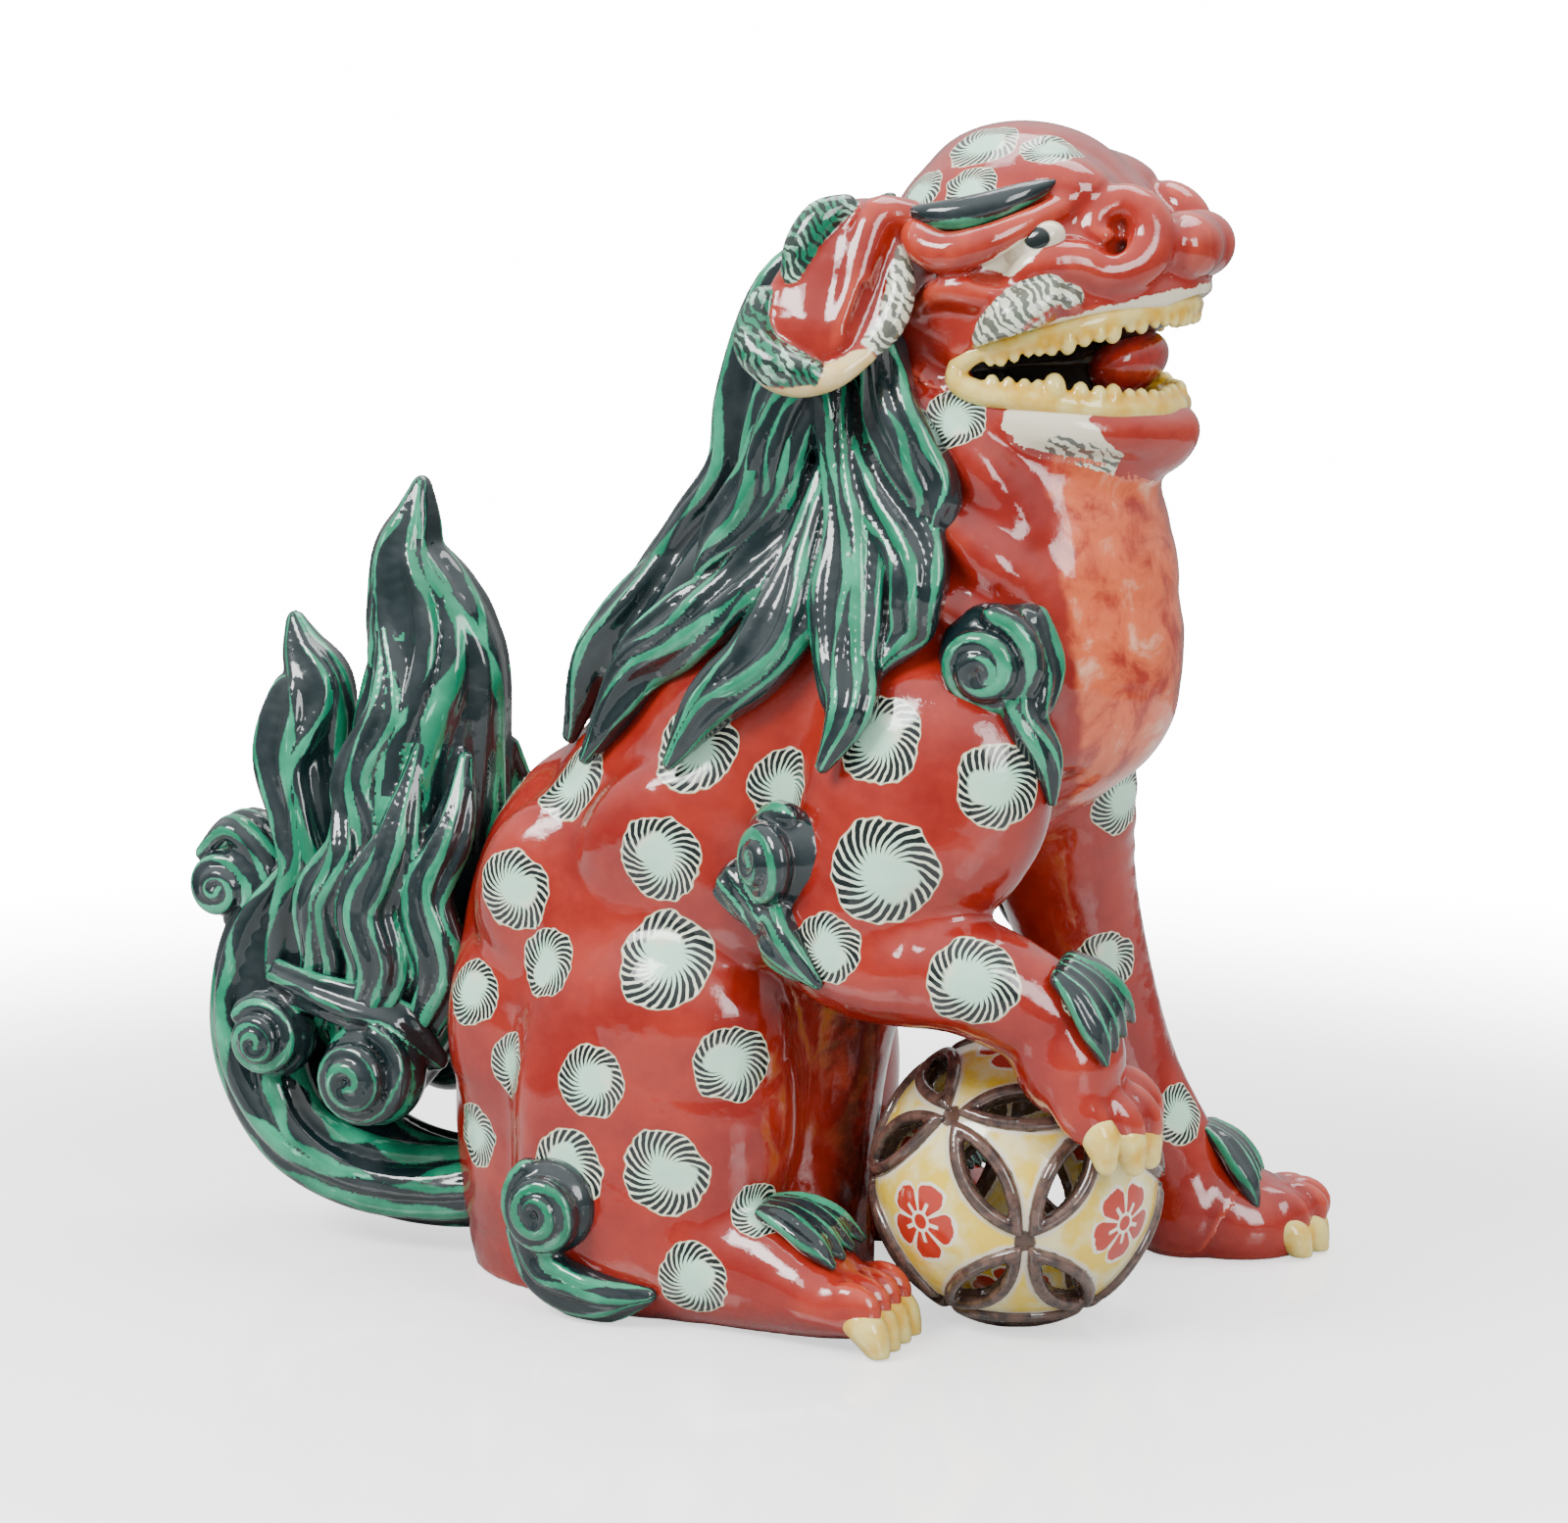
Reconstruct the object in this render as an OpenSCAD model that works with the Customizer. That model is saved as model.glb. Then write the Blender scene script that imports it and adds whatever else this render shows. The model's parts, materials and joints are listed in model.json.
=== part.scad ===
// Seated lion-dog figure in hollow glazed porcelain, with one fore paw on a pierced ball.
// The pieces are the ones a workshop moulds or models apart and lutes together with slip.
// Frame: +X towards the muzzle, +Y towards the figure's left, +Z up, origin under the middle of its box.

/* [Figure] */
// Wall of the pressed shells
wall = 6; // [4:0.5:8]
// Half width of the chest
chest_w = 42; // [38:1:46]
// Half width of the hips
hip_w = 48; // [44:1:52]
// Height of the standing wrist
wrist_z = 24; // [20:1:28]

/* [Ball] */
// Radius of the pierced ball
ball_r = 34.5; // [32:0.5:36]
// Wall of the ball
ball_wall = 3.5; // [3:0.5:5]
// Length of one pierced petal
petal_l = 24; // [18:1:26]
// Width of one pierced petal
petal_w = 7.5; // [6:0.5:10]

/* [Underside] */
// Thickness of the slab that closes the underside
slab_t = 6; // [4:0.5:8]
// Radius of its firing vent
vent_r = 1.5; // [1:0.25:2]

/* [Hidden] */

RED = [0.62, 0.12, 0.09];
GREEN = [0.07, 0.38, 0.26];
YELLOW = [0.95, 0.78, 0.35];
CREAM = [0.93, 0.88, 0.76];
BROWN = [0.28, 0.19, 0.17];
GAP = 0.3;             // slip joint between two luted pieces
RIGHT = -1;            // side of the figure along Y
LEFT = 1;
FAR = 400;             // larger than the figure

// The figure is modelled about its own middle plane, then moved so that its box is centred.
frame_shift = [1.1, -13.2, 0];

ball_c = [86, -10, ball_r + 0.4];
ball_turn = [7.7, 8.6, -21.7];
bead_h = 1.3;          // rise of the bead round each petal
bead_w = 2.6;          // width of that bead

// ---------- surfaces from rings ----------

function unit(v) = v / norm(v);

// The place on a smooth curve through the points p, at t from 0 to 1 between p[i] and p[i + 1].
function spline_at(p, i, t) = let(
    n = len(p) - 1,
    a = p[max(i - 1, 0)], b = p[i], c = p[min(i + 1, n)], d = p[min(i + 2, n)])
    0.5 * (2 * b + (c - a) * t + (2 * a - 5 * b + 4 * c - d) * t * t + (3 * b - a - 3 * c + d) * t * t * t);

function smooth(p, steps) = [
    for (i = [0 : len(p) - 2]) for (k = [0 : steps - 1]) spline_at(p, i, k / steps),
    p[len(p) - 1]];

function tangent(p, i) = unit(p[min(i + 1, len(p) - 1)] - p[max(i - 1, 0)]);

// An elliptical ring at p[i], size [across, along ref], from angle a0 over sweep.
function ring(p, i, size, ref, sides, a0 = 0, sweep = 360) = let(
    t = tangent(p, i), n = unit(cross(ref, t)), m = cross(t, n),
    count = sweep == 360 ? sides : sides + 1)
    [for (k = [0 : count - 1]) let(a = a0 + sweep * k / sides)
        p[i] + n * size[0] * cos(a) + m * size[1] * sin(a)];

function sum(v, i = 0) = i < len(v) - 1 ? v[i] + sum(v, i + 1) : v[i];

// A closed skin over rings of equal length, capped at both ends by a fan.
module skin(rings) {
    n = len(rings[0]);
    last = len(rings) - 1;
    points = [for (r = rings) each r, sum(rings[0]) / n, sum(rings[last]) / n];
    polyhedron(points, [
        for (i = [0 : last - 1]) for (k = [0 : n - 1]) let(a = i * n + k, b = i * n + (k + 1) % n)
            each [[a, a + n, b], [b, a + n, b + n]],
        for (k = [0 : n - 1]) [(last + 1) * n, k, (k + 1) % n],
        for (k = [0 : n - 1]) [(last + 1) * n + 1, last * n + (k + 1) % n, last * n + k],
    ]);
}

// A round-ended limb or lock along path, with [across, along ref] half sizes at each point.
module tube(path, sizes, ref = [0, 1, 0], sides = 12, steps = 2) {
    p = smooth(path, steps);
    s = smooth(sizes, steps);
    skin([for (i = [0 : len(p) - 1]) ring(p, i, s[i], ref, sides)]);
}

module placed(colour) { color(colour) translate(frame_shift) children(); }

// A modelled piece, handed back as one merged mesh at its own size.
module fired(colour) { placed(colour) resize([0, 0, 0]) children(); }

module above_ground() {
    intersection() {
        children();
        translate([-FAR / 2, -FAR / 2, 0]) cube(FAR);
    }
}

module egg(c, r, turn = [0, 0, 0], fn = 18) { translate(c) rotate(turn) scale(r) sphere(1, $fn = fn); }

function sided(side, p) = [for (q = p) [q[0], side * q[1], q[2]]];

// ---------- torso ----------

spine = [[-17, 0, -1], [-17, 0, 30], [-14, 0, 62], [0, 0, 95], [21, 0, 122], [44, 0, 146],
         [73, 0, 168], [76, 0, 193], [74, 0, 206], [68, 0, 216], [66, 0, 232]];
girth = [[45, hip_w - 5], [49, hip_w], [50, hip_w + 1], [50, hip_w], [50, chest_w + 4], [50, chest_w + 2],
         [47, chest_w], [41, chest_w - 3], [37, chest_w - 6], [26, chest_w - 12], [22, chest_w - 14]];
TORSO_SIDES = 20;
spine_steps = 2;

module torso_envelope(grow = 0) {
    p = smooth(spine, spine_steps);
    s = smooth([for (g = girth) g + [grow, grow]], spine_steps);
    skin([for (i = [0 : len(p) - 1]) ring(p, i, s[i], [0, 1, 0], TORSO_SIDES)]);
}

module half_space(side) {
    translate([-FAR / 2, side > 0 ? GAP / 2 : -FAR - GAP / 2, -FAR / 4]) cube(FAR);
}

module torso(side) {
    above_ground() intersection() {
        difference() {
            torso_envelope();
            torso_envelope(-wall);
        }
        half_space(side);
    }
}

module torso_right() { fired(RED) torso(RIGHT); }
module torso_left() { fired(RED) torso(LEFT); }

module base_slab() {
    placed(CREAM) translate([spine[0][0], 0, 0]) difference() {
        cylinder(r = girth[0][1] - wall, h = slab_t);
        translate([0, 0, -1]) cylinder(r = vent_r, h = slab_t + 2);
    }
}

// ---------- head ----------

skull_c = [84, 0, 257];
skull_r = [34, 37, 32];
mouth_z = 232;         // lowest level of the upper jaw

module head_mass() {
    egg(skull_c, skull_r);
    egg([103, 0, 256], [28, 30, 19], [0, 10, 0]);
    for (s = [RIGHT, LEFT]) egg([84, 25 * s, 241], [24, 13, 16], [0, -14, 0], 18);
}

module mouth_space() {
    tube([[62, 0, 231], [80, 0, 232], [104, 0, 234], [128, 0, 236], [150, 0, 238]],
         [[2, 20], [7, 44], [8.5, 46], [10, 46], [12, 46]], sides = 16, steps = 1);
}

module head_shell() {
    fired(RED) difference() {
        head_mass();
        egg(skull_c + [0, 0, 2], skull_r - [wall, wall, wall + 2]);
        mouth_space();
        torso_envelope(GAP);
        translate([0, -FAR / 2, mouth_z - FAR]) cube(FAR);
    }
}

module jaw_mass() {
    hull() for (s = [RIGHT, LEFT]) {
        egg([80, 23 * s, 219], [13, 9, 9], fn = 14);
        egg([112, 12 * s, 217], [13, 12, 11], fn = 14);
    }
}

module lower_jaw() {
    fired(RED) difference() {
        jaw_mass();
        hull() for (s = [RIGHT, LEFT]) {
            egg([80, 18 * s, 228], [12, 6, 8], fn = 12);
            egg([108, 9 * s, 228], [11, 8, 8], fn = 12);
        }
        mouth_space();
        torso_envelope(GAP);
    }
}

// Points of a horseshoe row from one mouth corner round the front to the other.
function horseshoe(back_x, front_x, half_w, z_back, z_front, count) = [
    for (k = [0 : count]) let(a = -90 + 180 * k / count)
        [back_x + (front_x - back_x) * pow(cos(a), 0.7), half_w * sin(a),
         z_back + (z_front - z_back) * cos(a)]];

// A gum with blunt teeth: every second ring swells.
module tooth_row(path, up) {
    n = len(path) - 1;
    skin([for (i = [0 : n]) let(
        tall = i == 0 || i == n ? 1 : (i % 2 == 0 ? 1.8 : 3.6),
        p = [for (q = path) q + [0, 0, up * tall / 2]])
        ring(p, i, [tall, 2], [0, 0, 1], 8)]);
}

upper_row = horseshoe(78, 127, 30, 233, 246, 24);
lower_row = horseshoe(80, 122, 27, 226, 224, 24);

module upper_teeth() { fired(YELLOW) tooth_row(upper_row, -1); }
module lower_teeth() { fired(YELLOW) tooth_row(lower_row, 1); }

module tongue() {
    fired(RED) tube([[82, 0, 221], [94, 0, 222], [103, 0, 225], [110, 0, 231], [114, 0, 238]],
        [[1, 4], [3.5, 9], [4.5, 11], [4.5, 11], [1.5, 6]], sides = 12);
}

module nose() {
    fired(RED) difference() {
        union() {
            egg([124, 0, 259], [10, 15, 9.5], [0, 20, 0], 16);
            for (s = [RIGHT, LEFT]) egg([115, 17 * s, 259], [13, 9, 10], [0, 15, -14 * s], 14);
        }
        head_mass();
    }
}

module eye(side) {
    fired(CREAM) difference() {
        egg([96, 30 * side, 258], [7, 5.5, 6], fn = 16);
        head_mass();
    }
}
module eye_right() { eye(RIGHT); }
module eye_left() { eye(LEFT); }

brow_path = [[62, -35, 262], [72, -37, 264], [84, -36, 267], [95, -30, 271], [103, -19, 275]];
brow_size = [[1, 1], [5, 5], [5.5, 5.5], [5.5, 5.5], [4, 4]];
module brow(side) {
    fired(GREEN) difference() {
        tube(sided(-side, brow_path), brow_size, [0, 0, 1], 10);
        head_mass();
    }
}
module brow_right() { brow(RIGHT); }
module brow_left() { brow(LEFT); }

ear_path = [[60, -34, 267], [54, -40, 259], [49, -46, 249], [46, -50, 240], [46, -52, 231]];
ear_size = [[6, 6], [9, 7], [12, 7], [12, 7], [6, 4]];
module ear(side) {
    fired(RED) difference() {
        tube(sided(-side, ear_path), ear_size, [0, 1, 0], 12);
        head_mass();
    }
}
module ear_right() { ear(RIGHT); }
module ear_left() { ear(LEFT); }

// ---------- mane ----------

module mane_back() {
    fired(GREEN) difference() {
        for (s = [RIGHT, 0, LEFT]) {
            tube([[52, 16 * s, 262], [38, 15 * s, 242], [30, 14 * s, 216], [23, 15 * s, 198],
                  [8, 17 * s, 184]],
                 [[6, 9], [11, 12], [13, 12], [11, 11], [2, 3]], sides = 8);
            tube([[28, 12 * s, 204], [12, 18 * s, 186], [-6, 20 * s, 172], [-22, 17 * s, 158],
                  [-36, 20 * s, 146]],
                 [[5, 9], [8, 11], [8, 10], [6, 8], [1.5, 3]], sides = 8);
        }
        torso_envelope();
        head_mass();
    }
}

side_locks = [
    [[[60, -34, 236], [67, -39, 220], [74, -42, 206], [75, -43, 195]], [[6, 5], [8, 6], [7, 5], [2, 2]]],
    [[[54, -36, 234], [60, -41, 212], [65, -43, 192], [72, -45, 178], [71, -45, 166]],
        [[7, 5], [10, 7], [9, 6], [7, 5], [2, 2]]],
    [[[46, -34, 228], [48, -40, 204], [52, -45, 182], [56, -50, 162], [56, -53, 144]],
        [[8, 6], [10, 7], [11, 7], [7, 6], [2, 2]]],
    [[[38, -30, 222], [34, -38, 200], [34, -45, 180], [26, -49, 160], [12, -50, 139]],
        [[8, 6], [10, 7], [10, 7], [8, 6], [2, 2]]],
    [[[32, -26, 212], [22, -36, 194], [6, -42, 176], [-8, -44, 160], [-18, -46, 144]],
        [[7, 6], [8, 7], [8, 7], [6, 6], [2, 2]]],
];
module mane_side(side) {
    fired(GREEN) difference() {
        for (k = side_locks) tube(sided(-side, k[0]), k[1], sides = 8);
        torso_envelope();
        head_mass();
    }
}
module mane_right() { mane_side(RIGHT); }
module mane_left() { mane_side(LEFT); }

// ---------- fore legs ----------

module shoulder_mass() {
    egg([72, -40, 134], [31, 19, 33], [0, 18, 0]);
    tube([[66, -42, 126], [56, -47, 108], [52, -49, 96]], [[26, 17], [18, 15], [13, 13]], sides = 14);
}

module forearm_mass() {
    tube([[49, -46, 97], [60, -47, 93], [84, -45, 92], [100, -40, 84], [108, -36, 76]],
         [[5, 6], [13, 13], [14, 14], [14, 13], [10, 12]], sides = 14);
}

module paw_fore_right_mass() {
    egg([112, -34, 68], [14, 17, 15], [0, 45, 20]);
}

module shoulder_right() {
    fired(RED) difference() {
        shoulder_mass();
        egg([72, -40, 134], [31 - wall, 19 - wall, 33 - wall], [0, 18, 0]);
        torso_envelope(GAP);
    }
}

module forearm_right() {
    fired(RED) difference() {
        forearm_mass();
        shoulder_mass();
        torso_envelope(GAP);
    }
}

module paw_fore_right() {
    fired(RED) difference() {
        paw_fore_right_mass();
        forearm_mass();
        translate(ball_c) sphere(ball_r + bead_h + GAP, $fn = 24);
    }
}

module foreleg_left_mass() {
    tube([[72, 30, 150], [76, 36, 130], [80, 44, 100], [86, 52, 70], [94, 59, 45],
          [104, 65, wrist_z], [108, 67, 14]],
         [[20, 12], [25, 17], [18, 16], [15, 14], [13, 13], [14, 14], [13, 13]], sides = 14);
}
module paw_fore_left_mass() {
    egg([121, 72, 9], [18, 16, 14], [0, 6, 20]);
    egg([106, 66, 10], [16, 15, 13]);
}

module foreleg_left() {
    fired(RED) difference() {
        foreleg_left_mass();
        torso_envelope(GAP);
        translate([-FAR / 2, -FAR / 2, wrist_z - 8 - FAR]) cube(FAR);
    }
}

module paw_fore_left() {
    fired(RED) difference() {
        above_ground() paw_fore_left_mass();
        foreleg_left_mass();
    }
}

// ---------- hind legs ----------

haunch_c = [1, -32, 61];
haunch_r = [38, 25, 42];
module haunch_mass() {
    egg(haunch_c, haunch_r, [0, -10, 0], 22);
    egg([3, -37, 26], [33, 18, 26]);
}

module haunch(side) {
    fired(RED) mirror([0, side > 0 ? 1 : 0, 0]) above_ground() difference() {
        haunch_mass();
        egg(haunch_c, haunch_r - [wall, wall, wall], [0, -10, 0], 18);
        torso_envelope(GAP);
    }
}
module haunch_right() { haunch(RIGHT); }
module haunch_left() { haunch(LEFT); }

module foot_hind_mass() {
    tube([[26, -43, 14], [42, -45, 12], [56, -46, 10], [64, -46, 8]],
         [[14, 13], [12, 13], [10, 13], [5, 10]], sides = 14);
}
module foot_hind(side) {
    fired(RED) mirror([0, side > 0 ? 1 : 0, 0]) above_ground() difference() {
        foot_hind_mass();
        haunch_mass();
    }
}
module foot_hind_right() { foot_hind(RIGHT); }
module foot_hind_left() { foot_hind(LEFT); }

// ---------- claws ----------

claw_path = [[-5, 0, 1], [0, 0, 1.5], [5, 0, 0], [9, 0, -3.5]];
claw_sizes = [[3.5, 3.6], [4.6, 4.4], [3.8, 3.8], [1, 1.2]];
claw_set_back = 1.2;   // how far the second claw from the middle lies behind it
claw_splay = 7;        // turn of each claw away from the one beside it

// A fan of blunt claws: c is the middle of the toe line, drop is how far each claw tips down.
module claw_fan(c, heading, spread, count, drop) {
    translate(c) rotate([0, 0, heading]) for (k = [0 : count - 1]) let(u = k - (count - 1) / 2)
        translate([-claw_set_back * u * u, u * spread, 0]) rotate([0, drop, u * claw_splay])
            tube(claw_path, claw_sizes, sides = 8, steps = 1);
}

module claws_hind(side) {
    fired(YELLOW) mirror([0, side > 0 ? 1 : 0, 0]) above_ground() difference() {
        claw_fan([61, -46, 7.5], 0, 6.6, 4, 6);
        foot_hind_mass();
    }
}
module claws_hind_right() { claws_hind(RIGHT); }
module claws_hind_left() { claws_hind(LEFT); }

module claws_fore_left() {
    fired(YELLOW) above_ground() difference() {
        claw_fan([131, 76, 8], 20, 7.6, 4, 6);
        paw_fore_left_mass();
    }
}

module claws_fore_right() {
    fired(YELLOW) difference() {
        claw_fan([121, -31, 56], 20, 8.6, 4, 62);
        paw_fore_right_mass();
        translate(ball_c) sphere(ball_r + bead_h + GAP, $fn = 24);
    }
}

// ---------- curls and tufts ----------

// Sizes of a curl's tail, from its root of [across, thick] to its tip.
function taper(root, count) = [for (k = [0 : count]) root * (1 - k / (count + 0.3))];

// A curl: a flat dome of radius r and half thickness t, with a tail that narrows along the points given.
module curl(c, r, t, facing, tail) {
    translate(c) rotate(facing) {
        scale([r, r, t]) sphere(1, $fn = 18);
        tube([[r * 0.2, -r * 0.6, 0], each tail], taper([r * 0.5, t * 0.8], len(tail)), [0, 0, 1], 8);
    }
}

chest_curl_c = [88, -40, 168];
module chest_curl(side) {
    fired(GREEN) mirror([0, side > 0 ? 1 : 0, 0]) difference() {
        curl(chest_curl_c, 12, 7, [90, 0, 18], [[6, -14, -1], [15, -20, -1], [22, -28, -1]]);
        torso_envelope();
        shoulder_mass();
    }
}
module chest_curl_right() { chest_curl(RIGHT); }
module chest_curl_left() { chest_curl(LEFT); }

elbow_curl_c = [40, -58, 116];
module elbow_curl_right() {
    fired(GREEN) difference() {
        curl(elbow_curl_c, 11.5, 7, [90, 0, 8], [[6, -16, 0], [14, -25, 1], [20, -32, 1]]);
        shoulder_mass();
        forearm_mass();
        torso_envelope();
    }
}
module elbow_curl_left() {
    fired(GREEN) difference() {
        curl([60, 58, 104], 11, 7, [-90, 0, 0], [[2, 14, 0], [4, 22, 0]]);
        foreleg_left_mass();
        torso_envelope();
    }
}

module heel_curl(side) {
    fired(GREEN) mirror([0, side > 0 ? 1 : 0, 0]) above_ground() difference() {
        curl([-18, -54, 24], 11.5, 9, [90, 0, -10], [[8, -12, 0], [18, -17, 1], [28, -18, 1]]);
        haunch_mass();
        torso_envelope();
    }
}
module heel_curl_right() { heel_curl(RIGHT); }
module heel_curl_left() { heel_curl(LEFT); }

module tuft(c, heading, tilt) {
    translate(c) rotate([0, tilt, heading])
        for (k = [-1, 0, 1]) translate([0, k * 6, -abs(k) * 1.5]) scale([7, 4.5, 4]) sphere(1, $fn = 10);
}

module tuft_hind(side) {
    fired(GREEN) mirror([0, side > 0 ? 1 : 0, 0]) difference() {
        tuft([44, -46, 24], 0, 12);
        foot_hind_mass();
        haunch_mass();
    }
}
module tuft_hind_right() { tuft_hind(RIGHT); }
module tuft_hind_left() { tuft_hind(LEFT); }

module tuft_fore_right() {
    fired(GREEN) difference() {
        tuft([112, -41, 84], 15, 42);
        forearm_mass();
        paw_fore_right_mass();
    }
}

module tuft_fore_left() {
    fired(GREEN) difference() {
        tuft([116, 68, 24], 15, 14);
        foreleg_left_mass();
        paw_fore_left_mass();
    }
}

// ---------- tail ----------

module tail_stem_mass() {
    tube([[-54, 0, 20], [-70, 0, 17], [-92, 0, 21], [-111, 0, 33],
          [-120, 0, 52], [-120, 0, 74], [-114, 0, 92], [-104, 0, 104]],
         [[12, 10], [12, 12], [14, 17], [14, 20], [14, 20], [13, 17], [11, 13], [3, 4]], sides = 12);
}
module tail_front_mass() {
    tube([[-92, 0, 46], [-80, 0, 76], [-74, 0, 106], [-74, 0, 134],
          [-77, 0, 158], [-80, 0, 182], [-80, 0, 197]],
         [[14, 14], [25, 22], [25, 20], [24, 16], [17, 12], [9, 8], [2, 2]], sides = 12);
}
module tail_rear_mass() {
    tube([[-112, 0, 70], [-110, 0, 96], [-112, 0, 120], [-112, 0, 142], [-115, 0, 162]],
         [[14, 14], [19, 16], [16, 13], [9, 9], [2, 2]], sides = 12);
}
module tail_curl_rear_mass() {
    egg([-134, 0, 94], [10, 11, 15], fn = 16);
    tube([[-116, 0, 72], [-122, 0, 84], [-131, 0, 92]], [[7, 8], [7, 8], [6, 8]], sides = 8, steps = 1);
}

module tail_stem() {
    fired(GREEN) difference() {
        tail_stem_mass();
        torso_envelope();
        haunch_mass();
        mirror([0, 1, 0]) haunch_mass();
    }
}
module tail_flame_front() {
    fired(GREEN) difference() {
        tail_front_mass();
        tail_stem_mass();
        torso_envelope();
    }
}
module tail_flame_rear() {
    fired(GREEN) difference() {
        tail_rear_mass();
        tail_front_mass();
        tail_stem_mass();
    }
}
module tail_curl_rear() {
    fired(GREEN) difference() {
        tail_curl_rear_mass();
        tail_rear_mass();
        tail_stem_mass();
    }
}
module tail_curls(side) {
    fired(GREEN) mirror([0, side > 0 ? 1 : 0, 0]) difference() {
        union() {
            egg([-111, -24, 56], [11, 11, 14], fn = 16);
            egg([-81, -26, 49], [16, 11, 14], fn = 16);
        }
        tail_stem_mass();
        tail_front_mass();
        tail_rear_mass();
        torso_envelope();
    }
}
module tail_curls_right() { tail_curls(RIGHT); }
module tail_curls_left() { tail_curls(LEFT); }

// ---------- ball ----------

// The petals lie on the 24 edges of a cuboctahedron, four at each of its 12 corners.
corners = [for (i = [0 : 2]) for (a = [-1, 1]) for (b = [-1, 1]) let(j = (i + 1) % 3, k = (i + 2) % 3)
    [for (m = [0 : 2]) m == j ? a : m == k ? b : 0]];
edges = [for (p = [0 : 11]) for (q = [p + 1 : 1 : 11]) let(a = corners[p], b = corners[q])
    if (norm(a - b) < 1.5) [a, b]];

module ball_place() { translate(ball_c) rotate(ball_turn) children(); }

// Stands children on the ball over the middle of edge e, with X along the edge.
module on_edge(e) {
    z = unit(e[0] + e[1]);
    x = unit(e[1] - e[0]);
    y = cross(z, x);
    multmatrix([[x[0], y[0], z[0], 0],
                [x[1], y[1], z[1], 0],
                [x[2], y[2], z[2], 0],
                [0, 0, 0, 1]])
        children();
}

// Half the width of a pointed petal at u from -1 to 1 along it.
function petal_half(u) = petal_w / 2 * (1 - u * u);
petal = let(n = 8) [
    for (k = [0 : n]) let(u = -1 + 2 * k / n) [u * petal_l / 2, petal_half(u)],
    for (k = [1 : n - 1]) let(u = 1 - 2 * k / n) [u * petal_l / 2, -petal_half(u)]];

module ball_half(up) {
    placed(YELLOW) ball_place() difference() {
        sphere(ball_r);
        sphere(ball_r - ball_wall);
        translate([-ball_r * 2, -ball_r * 2, up > 0 ? -ball_r * 4 : 0]) cube(ball_r * 4);
        for (e = edges) if (up * (e[0] + e[1])[2] > 0) on_edge(e)
            translate([0, 0, ball_r - 3 * ball_wall]) linear_extrude(4 * ball_wall) polygon(petal);
    }
}
module ball_upper() { ball_half(1); }
module ball_lower() { ball_half(-1); }

// A direction from the ball's centre, at u along a petal and off outside its edge.
function rim_way(u, side, off) = unit([u * (petal_l / 2 + off), side * (petal_half(u) + off), ball_r]);

// One bead along a petal's side: a low ridge with its foot on the ball's surface.
module bead(side) {
    n = 5;
    foot = ball_r - 0.1;
    top = ball_r + bead_h;
    skin([for (k = [0 : n]) let(u = -1 + 2 * k / n)
        [foot * rim_way(u, side, 0.2), top * rim_way(u, side, 0.7), top * rim_way(u, side, bead_w - 0.6),
         foot * rim_way(u, side, bead_w)]]);
}

module ball_rims() {
    fired(BROWN) ball_place() for (e = edges) on_edge(e) {
        bead(LEFT);
        mirror([0, 1, 0]) bead(LEFT);
    }
}

base_slab();
torso_right();
torso_left();
head_shell();
lower_jaw();
upper_teeth();
lower_teeth();
tongue();
nose();
eye_right();
eye_left();
brow_right();
brow_left();
ear_right();
ear_left();
mane_back();
mane_right();
mane_left();
shoulder_right();
forearm_right();
paw_fore_right();
foreleg_left();
paw_fore_left();
haunch_right();
haunch_left();
foot_hind_right();
foot_hind_left();
claws_fore_right();
claws_fore_left();
claws_hind_right();
claws_hind_left();
chest_curl_right();
chest_curl_left();
elbow_curl_right();
elbow_curl_left();
heel_curl_right();
heel_curl_left();
tuft_fore_right();
tuft_fore_left();
tuft_hind_right();
tuft_hind_left();
tail_stem();
tail_flame_front();
tail_flame_rear();
tail_curl_rear();
tail_curls_right();
tail_curls_left();
ball_upper();
ball_lower();
ball_rims();
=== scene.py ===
"""Seated lion-dog in glazed porcelain, with one fore paw on a pierced ball.

Every piece but the base slab, which stays as packed, is modelled as clay: a distance field in millimetres,
negative inside, which is meshed, smoothed, and then painted and glazed. The animal's fields are built up
from eggs and tapering limbs, and the ball's from spheres and pointed ovals. Modelling coordinates are the
figure's own: x towards the muzzle, y towards its left, z up, with its middle plane at y = 0. `TO_FRAME`
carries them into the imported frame.
"""
import itertools
import json
import math

import bpy
import numpy as np
from mathutils import Euler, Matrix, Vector
from mathutils.kdtree import KDTree

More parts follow.
